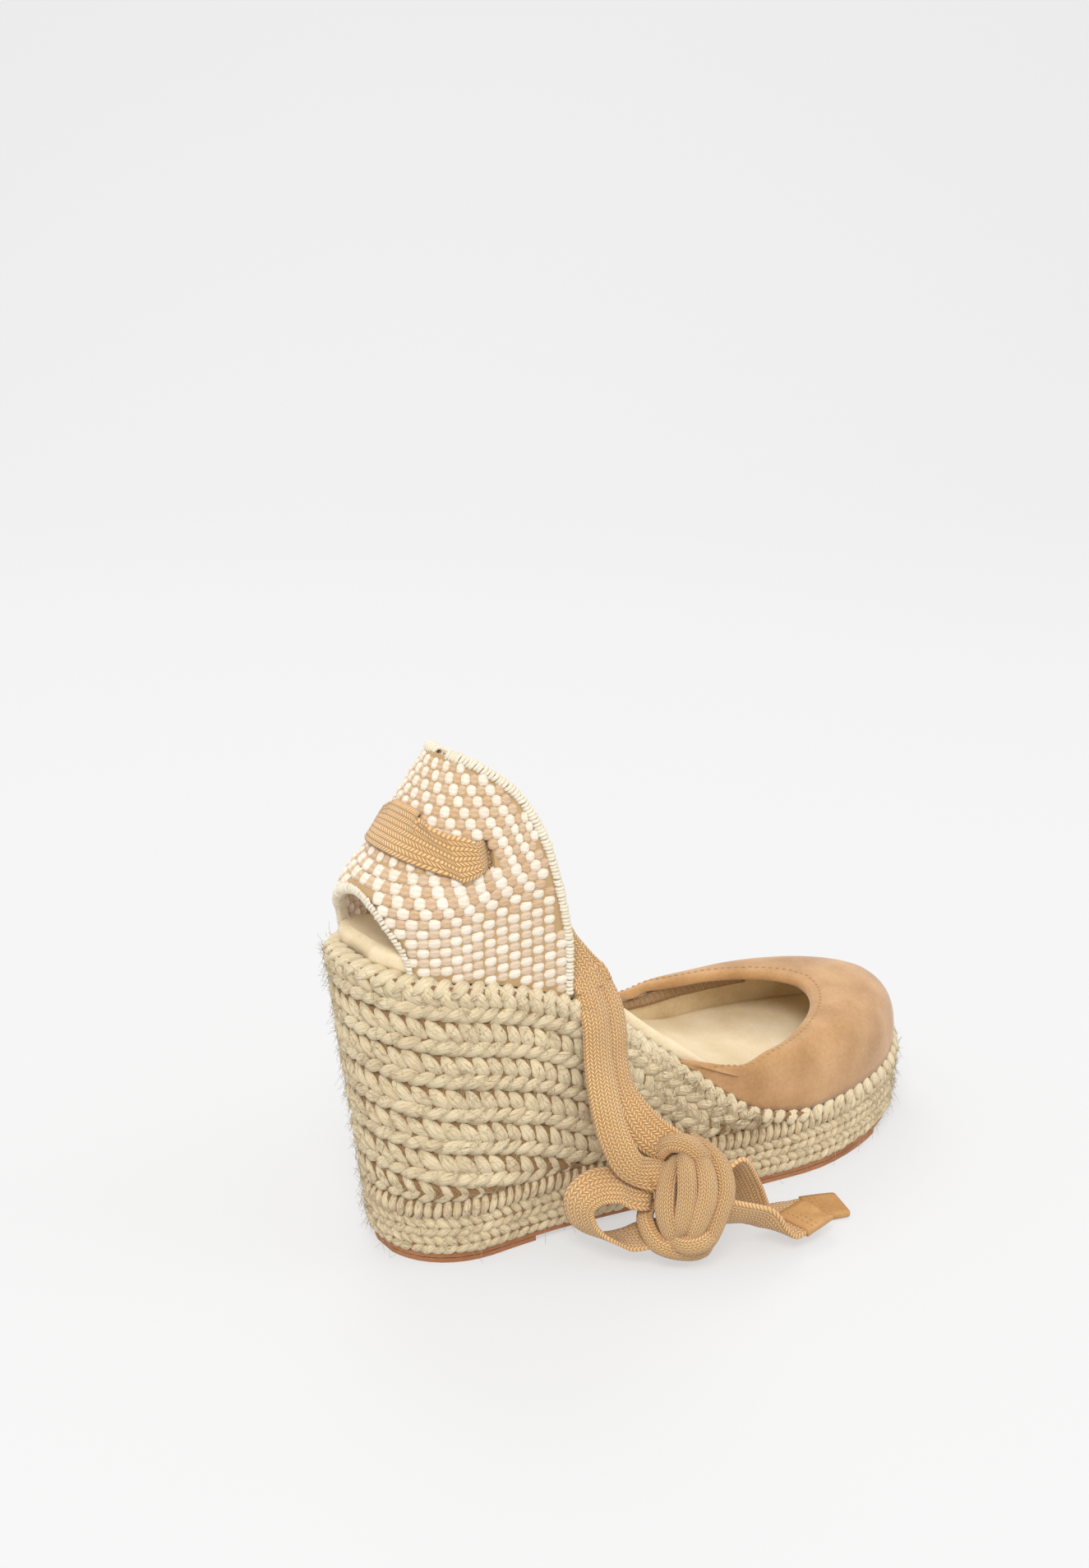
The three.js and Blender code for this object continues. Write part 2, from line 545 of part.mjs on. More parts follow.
const INNER_STEPS = 8;
const SHORT_END = 3;      // steps of the inner side's run inside the counter
const CROSSING = 1.7;     // half the run in which the band passes through the slot
const APPROACH = [0, 0.12, 0.26, 0.52, 0.76, 1];    // steps of the run in which it comes up to the slot
const APPROACH_RUN = 8.4;
const turned = SLOT_X - CROSSING;
const cupBack = cupPoint(0, SLOT_Z + TAPE_WIDTH * 0.65, 0).x;
const approachStart = Math.max(turned - APPROACH_RUN, cupBack + 3.4);
const bandTurn = stationAt(approachStart + 0.4, BAND_BACK_Z);
const bandHalf = [
  ...range(10, (i) => {
    const t = i / 9;
    const k = bandTurn * t;
    const z = mix(BAND_BACK_Z, SLOT_Z, (t * 0.8) ** 2);
    const x = cupStation(k, z, 0).x;
    return [(h) => mix(k, stationAt(x, h), t), z, OUTER_FACE, TAPE_WIDTH];
  }),
  ...APPROACH.map((t) => {
    const x = mix(approachStart, turned, t);
    return [(h) => stationAt(x, h), SLOT_Z, OUTER_FACE, TAPE_WIDTH];
  }),
  ...range(INNER_STEPS, (i) => {
    const t = i / (INNER_STEPS - 1);
    const x = mix(SLOT_X + CROSSING, INNER_END[0], t);
    const slope = (SLOT_Z - INNER_END[1]) / (INNER_END[0] - SLOT_X);
    const tall = TAPE_WIDTH * Math.sqrt(1 + (slope * Math.min(1, 2.2 * t)) ** 2);
    return [(h) => stationAt(x, h), mix(SLOT_Z, INNER_END[1], t ** 1.25), INNER_FACE, tall];
  }),
];
const sections = (side) => bandHalf.map((b) => bandSection(side, ...b));
const innerSide = sections(1).slice(1, SHORT_END - INNER_STEPS);
add('tie_band', loft([...sections(-1).toReversed(), ...innerSide]), TAPE);

// A flat tape along a hand-laid route of [x, y, z, face] where face is the direction across it.
function tape(route, steps) {
  const path = new THREE.CatmullRomCurve3(route.map((r) => V(...r[0])), false, 'centripetal');
  const last = route.length - 1;
  const corners = [
    [-0.5, -0.2], [-0.46, -0.5], [0.46, -0.5], [0.5, -0.2], [0.5, 0.2], [0.46, 0.5], [-0.46, 0.5], [-0.5, 0.2],
  ];
  return loft(range(steps + 1, (i) => {
    const t = i / steps;
    const k = Math.min(last - 1, Math.floor(t * last));
    const across = V(...route[k][1]).lerp(V(...route[k + 1][1]), t * last - k);
    const ahead = path.getTangent(t);
    across.addScaledVector(ahead, -across.dot(ahead)).normalize();
    const up = ahead.clone().cross(across);
    return corners.map(([a, b]) => path.getPoint(t)
      .addScaledVector(across, a * TAPE_WIDTH)
      .addScaledVector(up, b * TAPE_THICKNESS));
  }));
}

const KNOT_CENTRE = V(88.5, -60, 20);
const KNOT_HALF = V(18, 14, 19);
const ON_FLOOR = TAPE_THICKNESS / 2 + 0.4;

// The leads lie inside the counter and on the seat; the strands hang from where they end.
const NEAR_LEAD = [
  [[63.3, -23.8, 103], [0.75, 0, 0.65]],
  [[65.8, -23.5, 99.8], [0.83, 0, 0.55]],
  [[69.4, -23.4, 95.6], [0.92, 0, 0.38]],
  [[73, -24.9, 90], [0.95, 0, 0.28]],
];
const NEAR_DROP = [
  [[73.9, -26.9, 87.2], [0.96, 0, 0.24]],
  [[74.8, -30.2, 82.6], [0.98, 0, 0.18]],
  [[73.4, -34.6, 75.5], [1, 0, 0.12]],
  [[71.4, -37, 63], [1, -0.05, 0.1]],
  [[70, -41, 50], [0.97, -0.2, 0.15]],
  [[70.5, -45.8, 39], [0.92, -0.35, 0.2]],
  [[74.5, -50.5, 30], [0.8, -0.5, 0.35]],
];
const FAR_LEAD = [
  [[46.4, 21.6, 127], [0.1, 0, 1]],
  [[50.5, 16.5, 124.6], [0.1, 0, 1]],
  [[56, 6, 119], [0.3, 0, 0.95]],
  [[62, -6, 112], [0.5, 0, 0.85]],
  [[69, -13.5, 104], [0.7, 0, 0.7]],
  [[75.6, -17, 97], [0.8, 0, 0.6]],
  [[79.8, -21.4, 89.4], [0.9, 0, 0.4]],
];
const FAR_DROP = [
  [[81, -24, 87.2], [0.94, 0, 0.34]],
  [[81.2, -27.4, 83.2], [0.95, 0, 0.3]],
  [[80.6, -31.8, 77.2], [0.98, 0, 0.2]],
  [[79.4, -34, 69], [1, 0, 0.12]],
  [[78.2, -35, 60.5], [1, 0, 0.1]],
  [[77.8, -37.8, 52], [0.98, -0.1, 0.1]],
  [[79.5, -42.6, 44.5], [0.95, -0.2, 0.2]],
  [[83, -47, 38.4], [0.85, -0.3, 0.4]],
];
const BOW_LOOP = [
  [[75.5, -49.5, 22.5], [-0.1, -0.8, -0.6]],
  [[70, -46.5, 25], [-0.1, -0.8, -0.6]],
  [[63.5, -43.8, 24.8], [0, -0.85, -0.5]],
  [[58.8, -42.3, 20.5], [0.15, -0.93, -0.3]],
  [[59.5, -43, 13.5], [0.25, -0.96, 0]],
  [[64.5, -45.5, 8.4], [0.3, -0.95, 0.05]],
  [[72, -49.5, 7], [0.25, -0.95, 0.1]],
];
const NEAR_TAIL = [
  [[107.3, -56.5, 25], [0.3, -0.75, 0.5]],
  [[114.5, -55.2, 15], [0.4, -0.8, 0.3]],
  [[119, -55.4, 6.5], [0.3, -0.9, 0.1]],
  [[125, -56.4, 2], [0.15, -0.98, 0]],
  [[133, -58.8, ON_FLOOR], [0.3, -0.95, 0]],
  [[138, -60.5, ON_FLOOR], [0.34, -0.94, 0]],
];
const FAR_TAIL = [
  [[107.5, -70, 13], [0.5, -0.7, 0.45]],
  [[113, -71, 8], [0.3, -0.9, 0.2]],
  [[118, -71, 5.2], [-0.05, -0.99, 0]],
  [[122.5, -70.4, 5], [-0.15, -0.98, 0]],
];
add('near_lead', tape(NEAR_LEAD, 9), TAPE);
add('near_strand', tape(NEAR_DROP, 24), TAPE);
add('far_lead', tape(FAR_LEAD, 21), TAPE);
add('far_strand', tape(FAR_DROP, 24), TAPE);
add('bow_loop', tape(BOW_LOOP, 20), TAPE);
add('near_tail', tape(NEAR_TAIL, 12), TAPE);
add('far_tail', tape(FAR_TAIL, 8), TAPE);
add('bow_knot', new THREE.SphereGeometry(1, 16, 10).rotateX(Math.PI / 2)
  .scale(KNOT_HALF.x, KNOT_HALF.y, KNOT_HALF.z)
  .translate(KNOT_CENTRE.x, KNOT_CENTRE.y, KNOT_CENTRE.z), TAPE);

// Leather tab folded over each end of the tie.
function tip(route) {
  const [[end], [before]] = [route.at(-1), route.at(-2)];
  const ahead = V(end[0] - before[0], end[1] - before[1], 0).normalize();
  const at = V(...end).addScaledVector(ahead, GAP + 0.4 + TIP_LENGTH / 2);
  const g = new THREE.BoxGeometry(TIP_LENGTH, TAPE_WIDTH + 0.6, TAPE_THICKNESS + 0.8);
  return g.rotateZ(Math.atan2(ahead.y, ahead.x)).translate(at.x, at.y, end[2]);
}
add('near_tip', tip(NEAR_TAIL), TIP_LEATHER);
add('far_tip', tip(FAR_TAIL), TIP_LEATHER);

// ---- frame: origin on the ground under the middle of the sandal ------------------------------
const TIE_PIECES = [
  'near_lead', 'far_lead', 'near_strand', 'far_strand', 'bow_loop', 'near_tail', 'far_tail',
  'bow_knot', 'near_tip', 'far_tip',
];
root.updateMatrixWorld(true);
const box = new THREE.Box3();
root.children.filter((m) => !TIE_PIECES.includes(m.name)).forEach((m) => box.expandByObject(m));
const middle = box.getCenter(V(0, 0, 0));
root.position.set(-middle.x, -middle.y, -box.min.z);

export default root;
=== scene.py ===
import bisect
import json
import math
import random

import bmesh
import bpy
import numpy as np
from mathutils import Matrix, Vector

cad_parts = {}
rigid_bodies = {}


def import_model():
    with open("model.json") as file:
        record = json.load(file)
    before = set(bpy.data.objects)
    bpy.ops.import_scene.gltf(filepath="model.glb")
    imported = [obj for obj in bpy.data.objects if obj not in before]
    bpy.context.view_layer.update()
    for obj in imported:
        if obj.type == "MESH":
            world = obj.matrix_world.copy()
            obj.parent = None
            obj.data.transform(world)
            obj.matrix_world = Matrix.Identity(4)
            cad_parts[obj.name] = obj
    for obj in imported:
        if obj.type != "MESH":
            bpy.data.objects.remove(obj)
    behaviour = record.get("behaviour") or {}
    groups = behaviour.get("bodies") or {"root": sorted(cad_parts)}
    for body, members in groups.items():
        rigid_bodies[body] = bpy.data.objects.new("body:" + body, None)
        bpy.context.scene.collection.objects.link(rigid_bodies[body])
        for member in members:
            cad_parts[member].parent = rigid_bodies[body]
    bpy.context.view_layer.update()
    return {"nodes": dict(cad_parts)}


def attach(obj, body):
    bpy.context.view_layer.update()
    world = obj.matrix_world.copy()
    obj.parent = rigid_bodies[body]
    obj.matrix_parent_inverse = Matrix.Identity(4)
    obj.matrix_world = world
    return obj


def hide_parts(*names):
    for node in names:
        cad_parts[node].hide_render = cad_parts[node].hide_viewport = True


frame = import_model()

MM = 0.001
SEED = 7

# ---- driving dimensions of the sandal, millimetres from the back of the heel ----
# X runs from heel to toe, Z up, and the outer side of the foot faces -Y.
PART_ORIGIN = (114.01, 0.37)      # the frame's origin, on the ground under the sandal's middle
SOLE_LENGTH = 228.0
HEEL_HEIGHT = 101.0
FOREFOOT_HEIGHT = 23.4
HEEL_WIDTH, WAIST_WIDTH, BALL_WIDTH = 62.0, 65.0, 83.0
BASE_HEEL_WIDTH, BASE_BALL_WIDTH = 50.0, 83.0
HEEL_UNDERCUT, TOE_UNDERCUT = 12.0, 3.0
TOE_SPRING = 3.6
HEEL_ROUND, TOE_ROUND = 0.135, 0.37
BAND_BOTTOM, BAND_ROW_HEIGHT, BAND_ROWS = 3.9, 6.3, 3
BAND_TOP = BAND_BOTTOM + BAND_ROWS * BAND_ROW_HEIGHT - 0.3
WEDGE_ROWS, WEDGE_ROW_PITCH = 7, 11.6
VAMP_INSET = 1.2
THROAT_FRONT, WING_END, TOE_BOX_HEIGHT = 186.0, 106.0, 27.0
COUNTER_INSET, COUNTER_FRONT, COUNTER_TOP, WEAVE = 3.5, 64.5, 161.0, 1.6
CUTOUT_HALF_WIDTH, CUTOUT_HEIGHT = 21.5, 21.0
TAPE_WIDTH, TAPE_THICKNESS = 13.0, 1.5
SLOT_X, SLOT_Z, BAND_BACK_Z = 37.0, 133.5, 139.0


def mix(a, b, t):
    return a + (b - a) * t


def ramp(a, b, steps):
    """Even steps from a to b, both ends included."""
    return [mix(a, b, i / steps) for i in range(steps + 1)]


def profile(pairs):
    """A smooth curve through (x, value) pairs that never overshoots them."""
    xs = [p[0] for p in pairs]
    ys = [p[1] for p in pairs]
    step = [(ys[i + 1] - ys[i]) / (xs[i + 1] - xs[i]) for i in range(len(xs) - 1)]
    slope = [step[0]]
    for a, b in zip(step, step[1:]):
        slope.append(0.0 if a * b <= 0 else 2 * a * b / (a + b))
    slope.append(step[-1])

    def at(x):
        x = min(max(x, xs[0]), xs[-1])
        k = min(bisect.bisect_right(xs, x) - 1, len(xs) - 2)
        w = xs[k + 1] - xs[k]
        t = (x - xs[k]) / w
        bend = (slope[k] * (1 - t) - slope[k + 1] * t) * w + (ys[k + 1] - ys[k]) * (2 * t - 1)
        return mix(ys[k], ys[k + 1], t) + t * (1 - t) * bend

    return at


TOP_HALF = profile([
    (0, HEEL_WIDTH / 2), (0.3, HEEL_WIDTH / 2), (0.43, WAIST_WIDTH / 2), (0.6, BALL_WIDTH * 0.48),
    (0.72, BALL_WIDTH / 2), (0.88, BALL_WIDTH * 0.485), (1, BALL_WIDTH * 0.46)])
BASE_HALF = profile([
    (0, BASE_HEEL_WIDTH / 2), (0.15, BASE_HEEL_WIDTH / 2), (0.4, WAIST_WIDTH * 0.46),
    (0.6, BASE_BALL_WIDTH * 0.46), (0.72, BASE_BALL_WIDTH / 2), (0.88, BASE_BALL_WIDTH * 0.49),
    (1, BASE_BALL_WIDTH * 0.465)])
CENTRE_SHIFT = profile([(0, 0), (0.25, 0), (0.42, -1), (0.72, 0.6), (1, 4)])
SEAT_DROP = profile([(0, 0), (0.155, 0.1), (0.31, 0.29), (0.46, 0.64), (0.6, 0.94), (0.7, 1), (1, 1)])
RISE = profile([(0, TOE_BOX_HEIGHT), (0.5, 25), (0.7, 21), (0.85, 11.5), (1, 2.5)])
CUP_BACK = profile([
    (0, 0), (0.2, 0), (0.3, 1.6), (0.4, 6.5), (0.5, 12.5), (0.62, 17.5), (0.76, 23), (0.9, 28.5),
    (1, 32.5)])
CUP_LEAN = profile([(0, 0), (0.3, 0.6), (0.5, 2.2), (0.65, 4), (0.8, 6.6), (0.9, 9), (1, 12)])


def V(x, y, z):
    return Vector((x, y, z))


def world(p):
    """Sandal millimetres to frame metres."""
    return Vector(((p[0] - PART_ORIGIN[0]) * MM, (p[1] - PART_ORIGIN[1]) * MM, p[2] * MM))


def spring(s):
    """How far the toe end of the sole lifts off the ground, s from 0 at the heel to 1 at the toe."""
    return TOE_SPRING * max(0.0, (s - 0.86) / 0.14) ** 2


def seat_at(s):
    return mix(HEEL_HEIGHT, FOREFOOT_HEIGHT, SEAT_DROP(s)) + spring(s)


def along(q):
    """The share of the sole's length at q, which runs round the sole: -1 at the toe, down the
    outer side to 0 at the heel, up the inner side to 1 at the toe."""
    return (1 - math.cos(math.pi * abs(q))) / 2


def place_of(s):
    return math.acos(1 - 2 * s) / math.pi


def round_off(s):
    heel = max(0.0, (HEEL_ROUND - s) / HEEL_ROUND) ** 2.2
    toe = max(0.0, (s - (1 - TOE_ROUND)) / TOE_ROUND) ** 2.5
    return math.sqrt(max(0.0, 1 - heel)) * math.sqrt(max(0.0, 1 - toe))


def edge_raw(q, level):
    s = along(q)
    x = mix(mix(HEEL_UNDERCUT, 0, level), mix(SOLE_LENGTH - TOE_UNDERCUT, SOLE_LENGTH, level), s)
    half = mix(BASE_HALF(s), TOP_HALF(s), level) * round_off(s)
    return V(x, CENTRE_SHIFT(s) + math.copysign(half, q), 0)


def wrap(q):
    return q - 2 if q > 1 else q + 2 if q < -1 else q


def outward(q, level):
    step = 0.012
    t = (edge_raw(wrap(q + step), level) - edge_raw(wrap(q - step), level)).normalized()
    return V(-t.y, t.x, 0)


def side_point(q, z, inset=0.0):
    """The point on the sole's side at height z, moved inwards by inset."""
    s = along(q)
    level = min(max((z - spring(s)) / (seat_at(s) - spring(s)), 0), 1)
    p = edge_raw(q, level) - outward(q, level) * inset
    return V(p.x, p.y, z)


WING_Q = place_of(WING_END / SOLE_LENGTH) - 0.004


def vamp_surface(p, v):
    """p runs from the outer wing (-1) round the toe to the inner wing (1), v up to the topline."""
    q = math.copysign(1 - abs(p) * (1 - WING_Q), p if p else 1)
    s = along(q)
    foot = side_point(q, seat_at(s), VAMP_INSET)
    foot.z += 0.6
    out = outward(q, 1)
    x = WING_END + (THROAT_FRONT - WING_END) * math.cos(math.pi / 2 * p)
    st = x / SOLE_LENGTH
    half = TOP_HALF(st) - mix(3, 1.5, abs(p) ** 3)
    top = V(x, CENTRE_SHIFT(st) + half * math.sin(math.pi / 2 * p), seat_at(st) + RISE(abs(p)))
    flat = V(foot.x - top.x, foot.y - top.y, 0)
    c1 = foot + out * (0.5 + 0.03 * flat.length)
    c1.z = foot.z + 0.85 * (top.z - foot.z)
    c2 = top + flat * 0.62
    c2.z = top.z + 0.07 * flat.length
    u = 1 - v
    return foot * u ** 3 + c1 * 3 * u * u * v + c2 * 3 * u * v * v + top * v ** 3


def vamp_normal(p, v):
    e = 0.004
    dp = vamp_surface(min(1, p + e), v) - vamp_surface(max(-1, p - e), v)
    dv = vamp_surface(p, min(1, v + e)) - vamp_surface(p, max(0, v - e))
    return dp.cross(dv).normalized()


CUP_RISE = COUNTER_TOP - HEEL_HEIGHT


def cup_point(f, z, depth):
    h = (z - HEEL_HEIGHT) / CUP_RISE
    half = HEEL_WIDTH / 2 - COUNTER_INSET - CUP_LEAN(h) - depth
    back = COUNTER_INSET + CUP_BACK(h) + depth
    reach = HEEL_ROUND * SOLE_LENGTH - COUNTER_INSET - depth - CUP_LEAN(h) * 0.5
    c = math.cos(f)
    return V(back + reach * (1 - math.copysign(abs(c) ** 0.91, c)), half * math.sin(f), z)


def cup_station(k, z, depth):
    """k is 0 at the back of the heel, 1 where the cup runs straight ahead, 2 past its front."""
    turn = math.pi / 2
    if abs(k) <= 1:
        return cup_point(k * turn, z, depth)
    p = cup_point(math.copysign(turn, k), z, depth)
    x = mix(p.x, COUNTER_FRONT + 6, abs(k) - 1)
    s = min(x, COUNTER_FRONT) / SOLE_LENGTH
    return V(x, CENTRE_SHIFT(s) + p.y + math.copysign(TOP_HALF(s) - HEEL_WIDTH / 2, k), z)


def station_at(x, z, depth=0.0):
    low, high = 0.0, 2.0
    for _ in range(22):
        k = (low + high) / 2
        if cup_station(k, z, depth).x < x:
            low = k
        else:
            high = k
    return (low + high) / 2


# The counter's front edge from the side: (distance from COUNTER_FRONT, height).
RIM = [(0, 100), (-1.5, 110), (-4.5, 124), (-7.5, 135.5), (-14.5, 148.5), (-24, 157), (-31.5, 160.3)]


def spline_points(points, count):
    """A smooth curve through points, the same number of samples between each two."""
    curve = [Vector(p) for p in points]
    ends = [curve[0] * 2 - curve[1], *curve, curve[-1] * 2 - curve[-2]]
    out = []
    last = len(points) - 1
    for i in range(count):
        t = i / (count - 1) * last
        k = min(int(t), last - 1)
        u = t - k
        p0, p1, p2, p3 = ends[k:k + 4]
        out.append(0.5 * (2 * p1 + (p2 - p0) * u + (2 * p0 - 5 * p1 + 4 * p2 - p3) * u ** 2
                          + (3 * p1 - p0 - 3 * p2 + p3) * u ** 3))
    return out


RIM_CURVE = spline_points([(COUNTER_FRONT + dx, z, 0) for dx, z in RIM], 25)


def rim_x(z):
    """How far forward the counter's front edge is at height z."""
    if z <= RIM_CURVE[0].y:
        return COUNTER_FRONT
    for a, b in zip(RIM_CURVE, RIM_CURVE[1:]):
        if a.y <= z <= b.y:
            return mix(a.x, b.x, (z - a.y) / (b.y - a.y))
    return -1.0


# ---- building meshes ----
def put(name, data):
    """An object of this data, linked into the scene."""
    obj = bpy.data.objects.new(name, data)
    bpy.context.scene.collection.objects.link(obj)
    return obj


def smooth(mesh):
    mesh.polygons.foreach_set("use_smooth", [True] * len(mesh.polygons))


def mesh_object(name, points, faces, uvs, material=None):
    """A smooth mesh of sandal-millimetre points, with one UV per point and its faces outwards."""
    mesh = bpy.data.meshes.new(name)
    mesh.from_pydata([world(p) for p in points], [], faces)
    layer = mesh.uv_layers.new(name="UVMap")
    index = np.empty(len(mesh.loops), dtype=np.int32)
    mesh.loops.foreach_get("vertex_index", index)
    layer.data.foreach_set("uv", np.asarray(uvs, dtype=np.float32)[index].ravel())
    smooth(mesh)
    bm = bmesh.new()
    bm.from_mesh(mesh)
    bmesh.ops.recalc_face_normals(bm, faces=bm.faces)
    bm.to_mesh(mesh)
    bm.free()
    if material:
        mesh.materials.append(material)
    return put(name, mesh)


def tube_faces(steps, around, base=0):
    """The faces of a run of rings, with a cap on each end."""
    last = base + steps * around
    faces = []
    for a in range(base, last, around):
        for j in range(around):
            k = (j + 1) % around
            faces.append((a + j, a + around + j, a + around + k, a + k))
    return [*faces, tuple(range(base, base + around)), tuple(reversed(range(last, last + around)))]


def loft(name, sections, uvs, material):
    """A closed skin over loops of equal point count, with strips for its two ends."""
    n = len(sections[0])
    last = (len(sections) - 1) * n
    faces = []
    for a in range(0, last, n):
        for i in range(n):
            j = (i + 1) % n
            faces.append((a + i, a + j, a + n + j, a + n + i))
    for i in range(n // 2 - 1):
        j = n - 1 - i
        faces.append((i, i + 1, j - 1, j))
        faces.append((last + j, last + j - 1, last + i + 1, last + i))
    points = [p for loop in sections for p in loop]
    return mesh_object(name, points, faces, [c for loop in uvs for c in loop], material)


def lengths(points):
    """Distance along a run of points, at each of them."""
    run = [0.0]
    for a, b in zip(points, points[1:]):
        run.append(run[-1] + (Vector(b) - Vector(a)).length)
    return run


def even(points, count, *others):
    """Points, and other lists that go with them, at even distances along the run."""
    run = lengths(points)
    out = [[] for _ in range(1 + len(others))]
    k = 0
    for i in range(count):
        d = run[-1] * i / (count - 1)
        while k < len(run) - 2 and run[k + 1] < d:
            k += 1
        t = (d - run[k]) / max(1e-9, run[k + 1] - run[k])
        for store, source in zip(out, (points, *others)):
            a, b = source[k], source[k + 1]
            store.append(a + (b - a) * t)
    return out


def settle(obj, body, finish, *nodes):
    """Hides the CAD nodes a piece replaces and attaches it to the body it rides on. finish is not used.
    """
    if nodes:
        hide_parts(*nodes)
    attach(obj, body)
    return obj


# ---- finishes ----
def rgb(code):
    part = [int(code[i:i + 2], 16) / 255 for i in (1, 3, 5)]
    return tuple(c / 12.92 if c <= 0.04045 else ((c + 0.055) / 1.055) ** 2.4 for c in part) + (1.0,)


class Tree:
    """Short ways to lay out one node tree."""

    def __init__(self, tree):
        self.tree = tree

    def add(self, kind, props=(), **inputs):
        node = self.tree.nodes.new(kind)
        for key, value in dict(props).items():
            setattr(node, key, value)
        for key, value in inputs.items():
            key = int(key[1:]) if key[0] == "_" else key.replace("_", " ")
            self.feed(node.inputs[key], value)
        return node

    def feed(self, socket, value):
        if isinstance(value, bpy.types.NodeSocket):
            self.tree.links.new(value, socket)
        else:
            socket.default_value = value

    def math(self, operation, a, b=0.0):
        return self.add("ShaderNodeMath", {"operation": operation}, _0=a, _1=b).outputs[0]

    def plus(self, a, b):
        return self.math("ADD", a, b)

    def times(self, a, b):
        return self.math("MULTIPLY", a, b)

    def blend(self, factor, a, b):
        return self.add("ShaderNodeMix", {"data_type": "RGBA"}, _0=factor, _6=a, _7=b).outputs[2]

    def spread(self, value, low, high, to_high=1.0):
        return self.add("ShaderNodeMapRange", _0=value, _1=low, _2=high, _3=0.0, _4=to_high).outputs[0]

    def noise(self, where, scale, detail, rough=0.5):
        return self.add("ShaderNodeTexNoise", Vector=where, Scale=scale, Detail=detail,
                        Roughness=rough).outputs[0]

    def place(self, kind):
        return self.add("ShaderNodeTexCoord").outputs[kind]


def shader_group(name, inputs, outputs):
    tree = bpy.data.node_groups.new(name, "ShaderNodeTree")
    for label, kind, value in inputs:
        socket = tree.interface.new_socket(label, in_out="INPUT", socket_type=kind)
        if value is not None:
            socket.default_value = value
    for label in outputs:
        tree.interface.new_socket(label, in_out="OUTPUT", socket_type="NodeSocketFloat")
    return tree, Tree(tree), tree.nodes.new("NodeGroupInput"), tree.nodes.new("NodeGroupOutput")


def fibres_group():
    """Fine strands that run along X of the vector given."""
    tree, t, inp, out = shader_group("fibres", [
        ("Vector", "NodeSocketVector", None), ("Strands", "NodeSocketFloat", 8.0),
        ("Run", "NodeSocketFloat", 0.5)], ["Value"])
    part = t.add("ShaderNodeSeparateXYZ", Vector=inp.outputs["Vector"])
    stretched = t.add(
        "ShaderNodeCombineXYZ", X=t.times(part.outputs[0], inp.outputs["Run"]),
        Y=t.times(part.outputs[1], inp.outputs["Strands"]), Z=part.outputs[2])
    t.feed(out.inputs["Value"], t.noise(stretched.outputs[0], 1.0, 4.0, 0.6))
    return tree


def braid_group():
    """A flat braid: columns of slanted stitches that lean left and right in turn."""
    tree, t, inp, out = shader_group("flat_braid", [
        ("Vector", "NodeSocketVector", None), ("Column", "NodeSocketFloat", 1.2),
        ("Pitch", "NodeSocketFloat", 0.9)], ["Height"])
    part = t.add("ShaderNodeSeparateXYZ", Vector=inp.outputs["Vector"])
    across = t.math("DIVIDE", t.plus(part.outputs[0], 60.0), inp.outputs["Column"])
    place = t.math("FRACT", across)
    lean = t.math("SUBTRACT", t.times(t.math("MODULO", t.math("FLOOR", across), 2.0), 2.0), 1.0)
    slant = t.times(t.math("SUBTRACT", place, 0.5), lean)
    phase = t.plus(t.math("DIVIDE", part.outputs[1], inp.outputs["Pitch"]), slant)
    rib = t.math("ABSOLUTE", t.math("SINE", t.times(phase, math.pi)))
    dome = t.math("SINE", t.times(place, math.pi))
    t.feed(out.inputs["Height"], t.times(t.math("POWER", rib, 0.7), t.math("POWER", dome, 0.5)))
    return tree


def grain_group():
    """Fine leather grain: small rounded cells over a soft unevenness."""
    tree, t, inp, out = shader_group("leather_grain", [
        ("Vector", "NodeSocketVector", None), ("Cells", "NodeSocketFloat", 1100.0)],
        ["Height", "Patches"])
    cells = t.add("ShaderNodeTexVoronoi", {"feature": "SMOOTH_F1"}, Vector=inp.outputs["Vector"],
                  Scale=inp.outputs["Cells"])
    t.feed(out.inputs["Height"], cells.outputs["Distance"])
    t.feed(out.inputs["Patches"], t.noise(inp.outputs["Vector"], 70.0, 5.0))
    return tree


FIBRES, BRAID, GRAIN = fibres_group(), braid_group(), grain_group()


def material(name, rough, sheen=0.0):
    mat = bpy.data.materials.new(name)
    mat.use_nodes = True
    mat.node_tree.nodes.clear()
    t = Tree(mat.node_tree)
    out = t.add("ShaderNodeOutputMaterial")
    skin = t.add("ShaderNodeBsdfPrincipled", Roughness=rough)
    skin.inputs["Specular IOR Level"].default_value = 0.3
    skin.inputs["Sheen Weight"].default_value = sheen
    skin.inputs["Sheen Roughness"].default_value = 0.5
    t.feed(out.inputs["Surface"], skin.outputs[0])
    return mat, t, skin


def group_node(t, tree, **inputs):
    node = t.add("ShaderNodeGroup")
    node.node_tree = tree
    for key, value in inputs.items():
        t.feed(node.inputs[key], value)
    return node


def bump(t, skin, height, distance):
    """distance in millimetres."""
    node = t.add("ShaderNodeBump", Strength=1.0, Distance=distance * MM, Height=height)
    t.feed(skin.inputs["Normal"], node.outputs[0])


def yarn(name, dark, light, strands, depth, run=0.35):
    """Twisted or plaited yarn, its own tone carried by each piece."""
    mat, t, skin = material(name, 0.95, 0.25)
    fibre = group_node(t, FIBRES, Vector=t.place("UV"), Strands=strands, Run=run).outputs[0]
    tone = t.add("ShaderNodeAttribute", {"attribute_name": "tone"}).outputs["Fac"]
    worn = t.noise(t.place("Object"), 60.0, 3.0)
    shade = t.plus(t.times(t.spread(fibre, 0.3, 0.7), 0.55),
                   t.plus(t.times(tone, 0.35), t.times(worn, 0.2)))
    t.feed(skin.inputs["Base Color"], t.blend(shade, rgb(dark), rgb(light)))
    bump(t, skin, fibre, depth)
    return mat


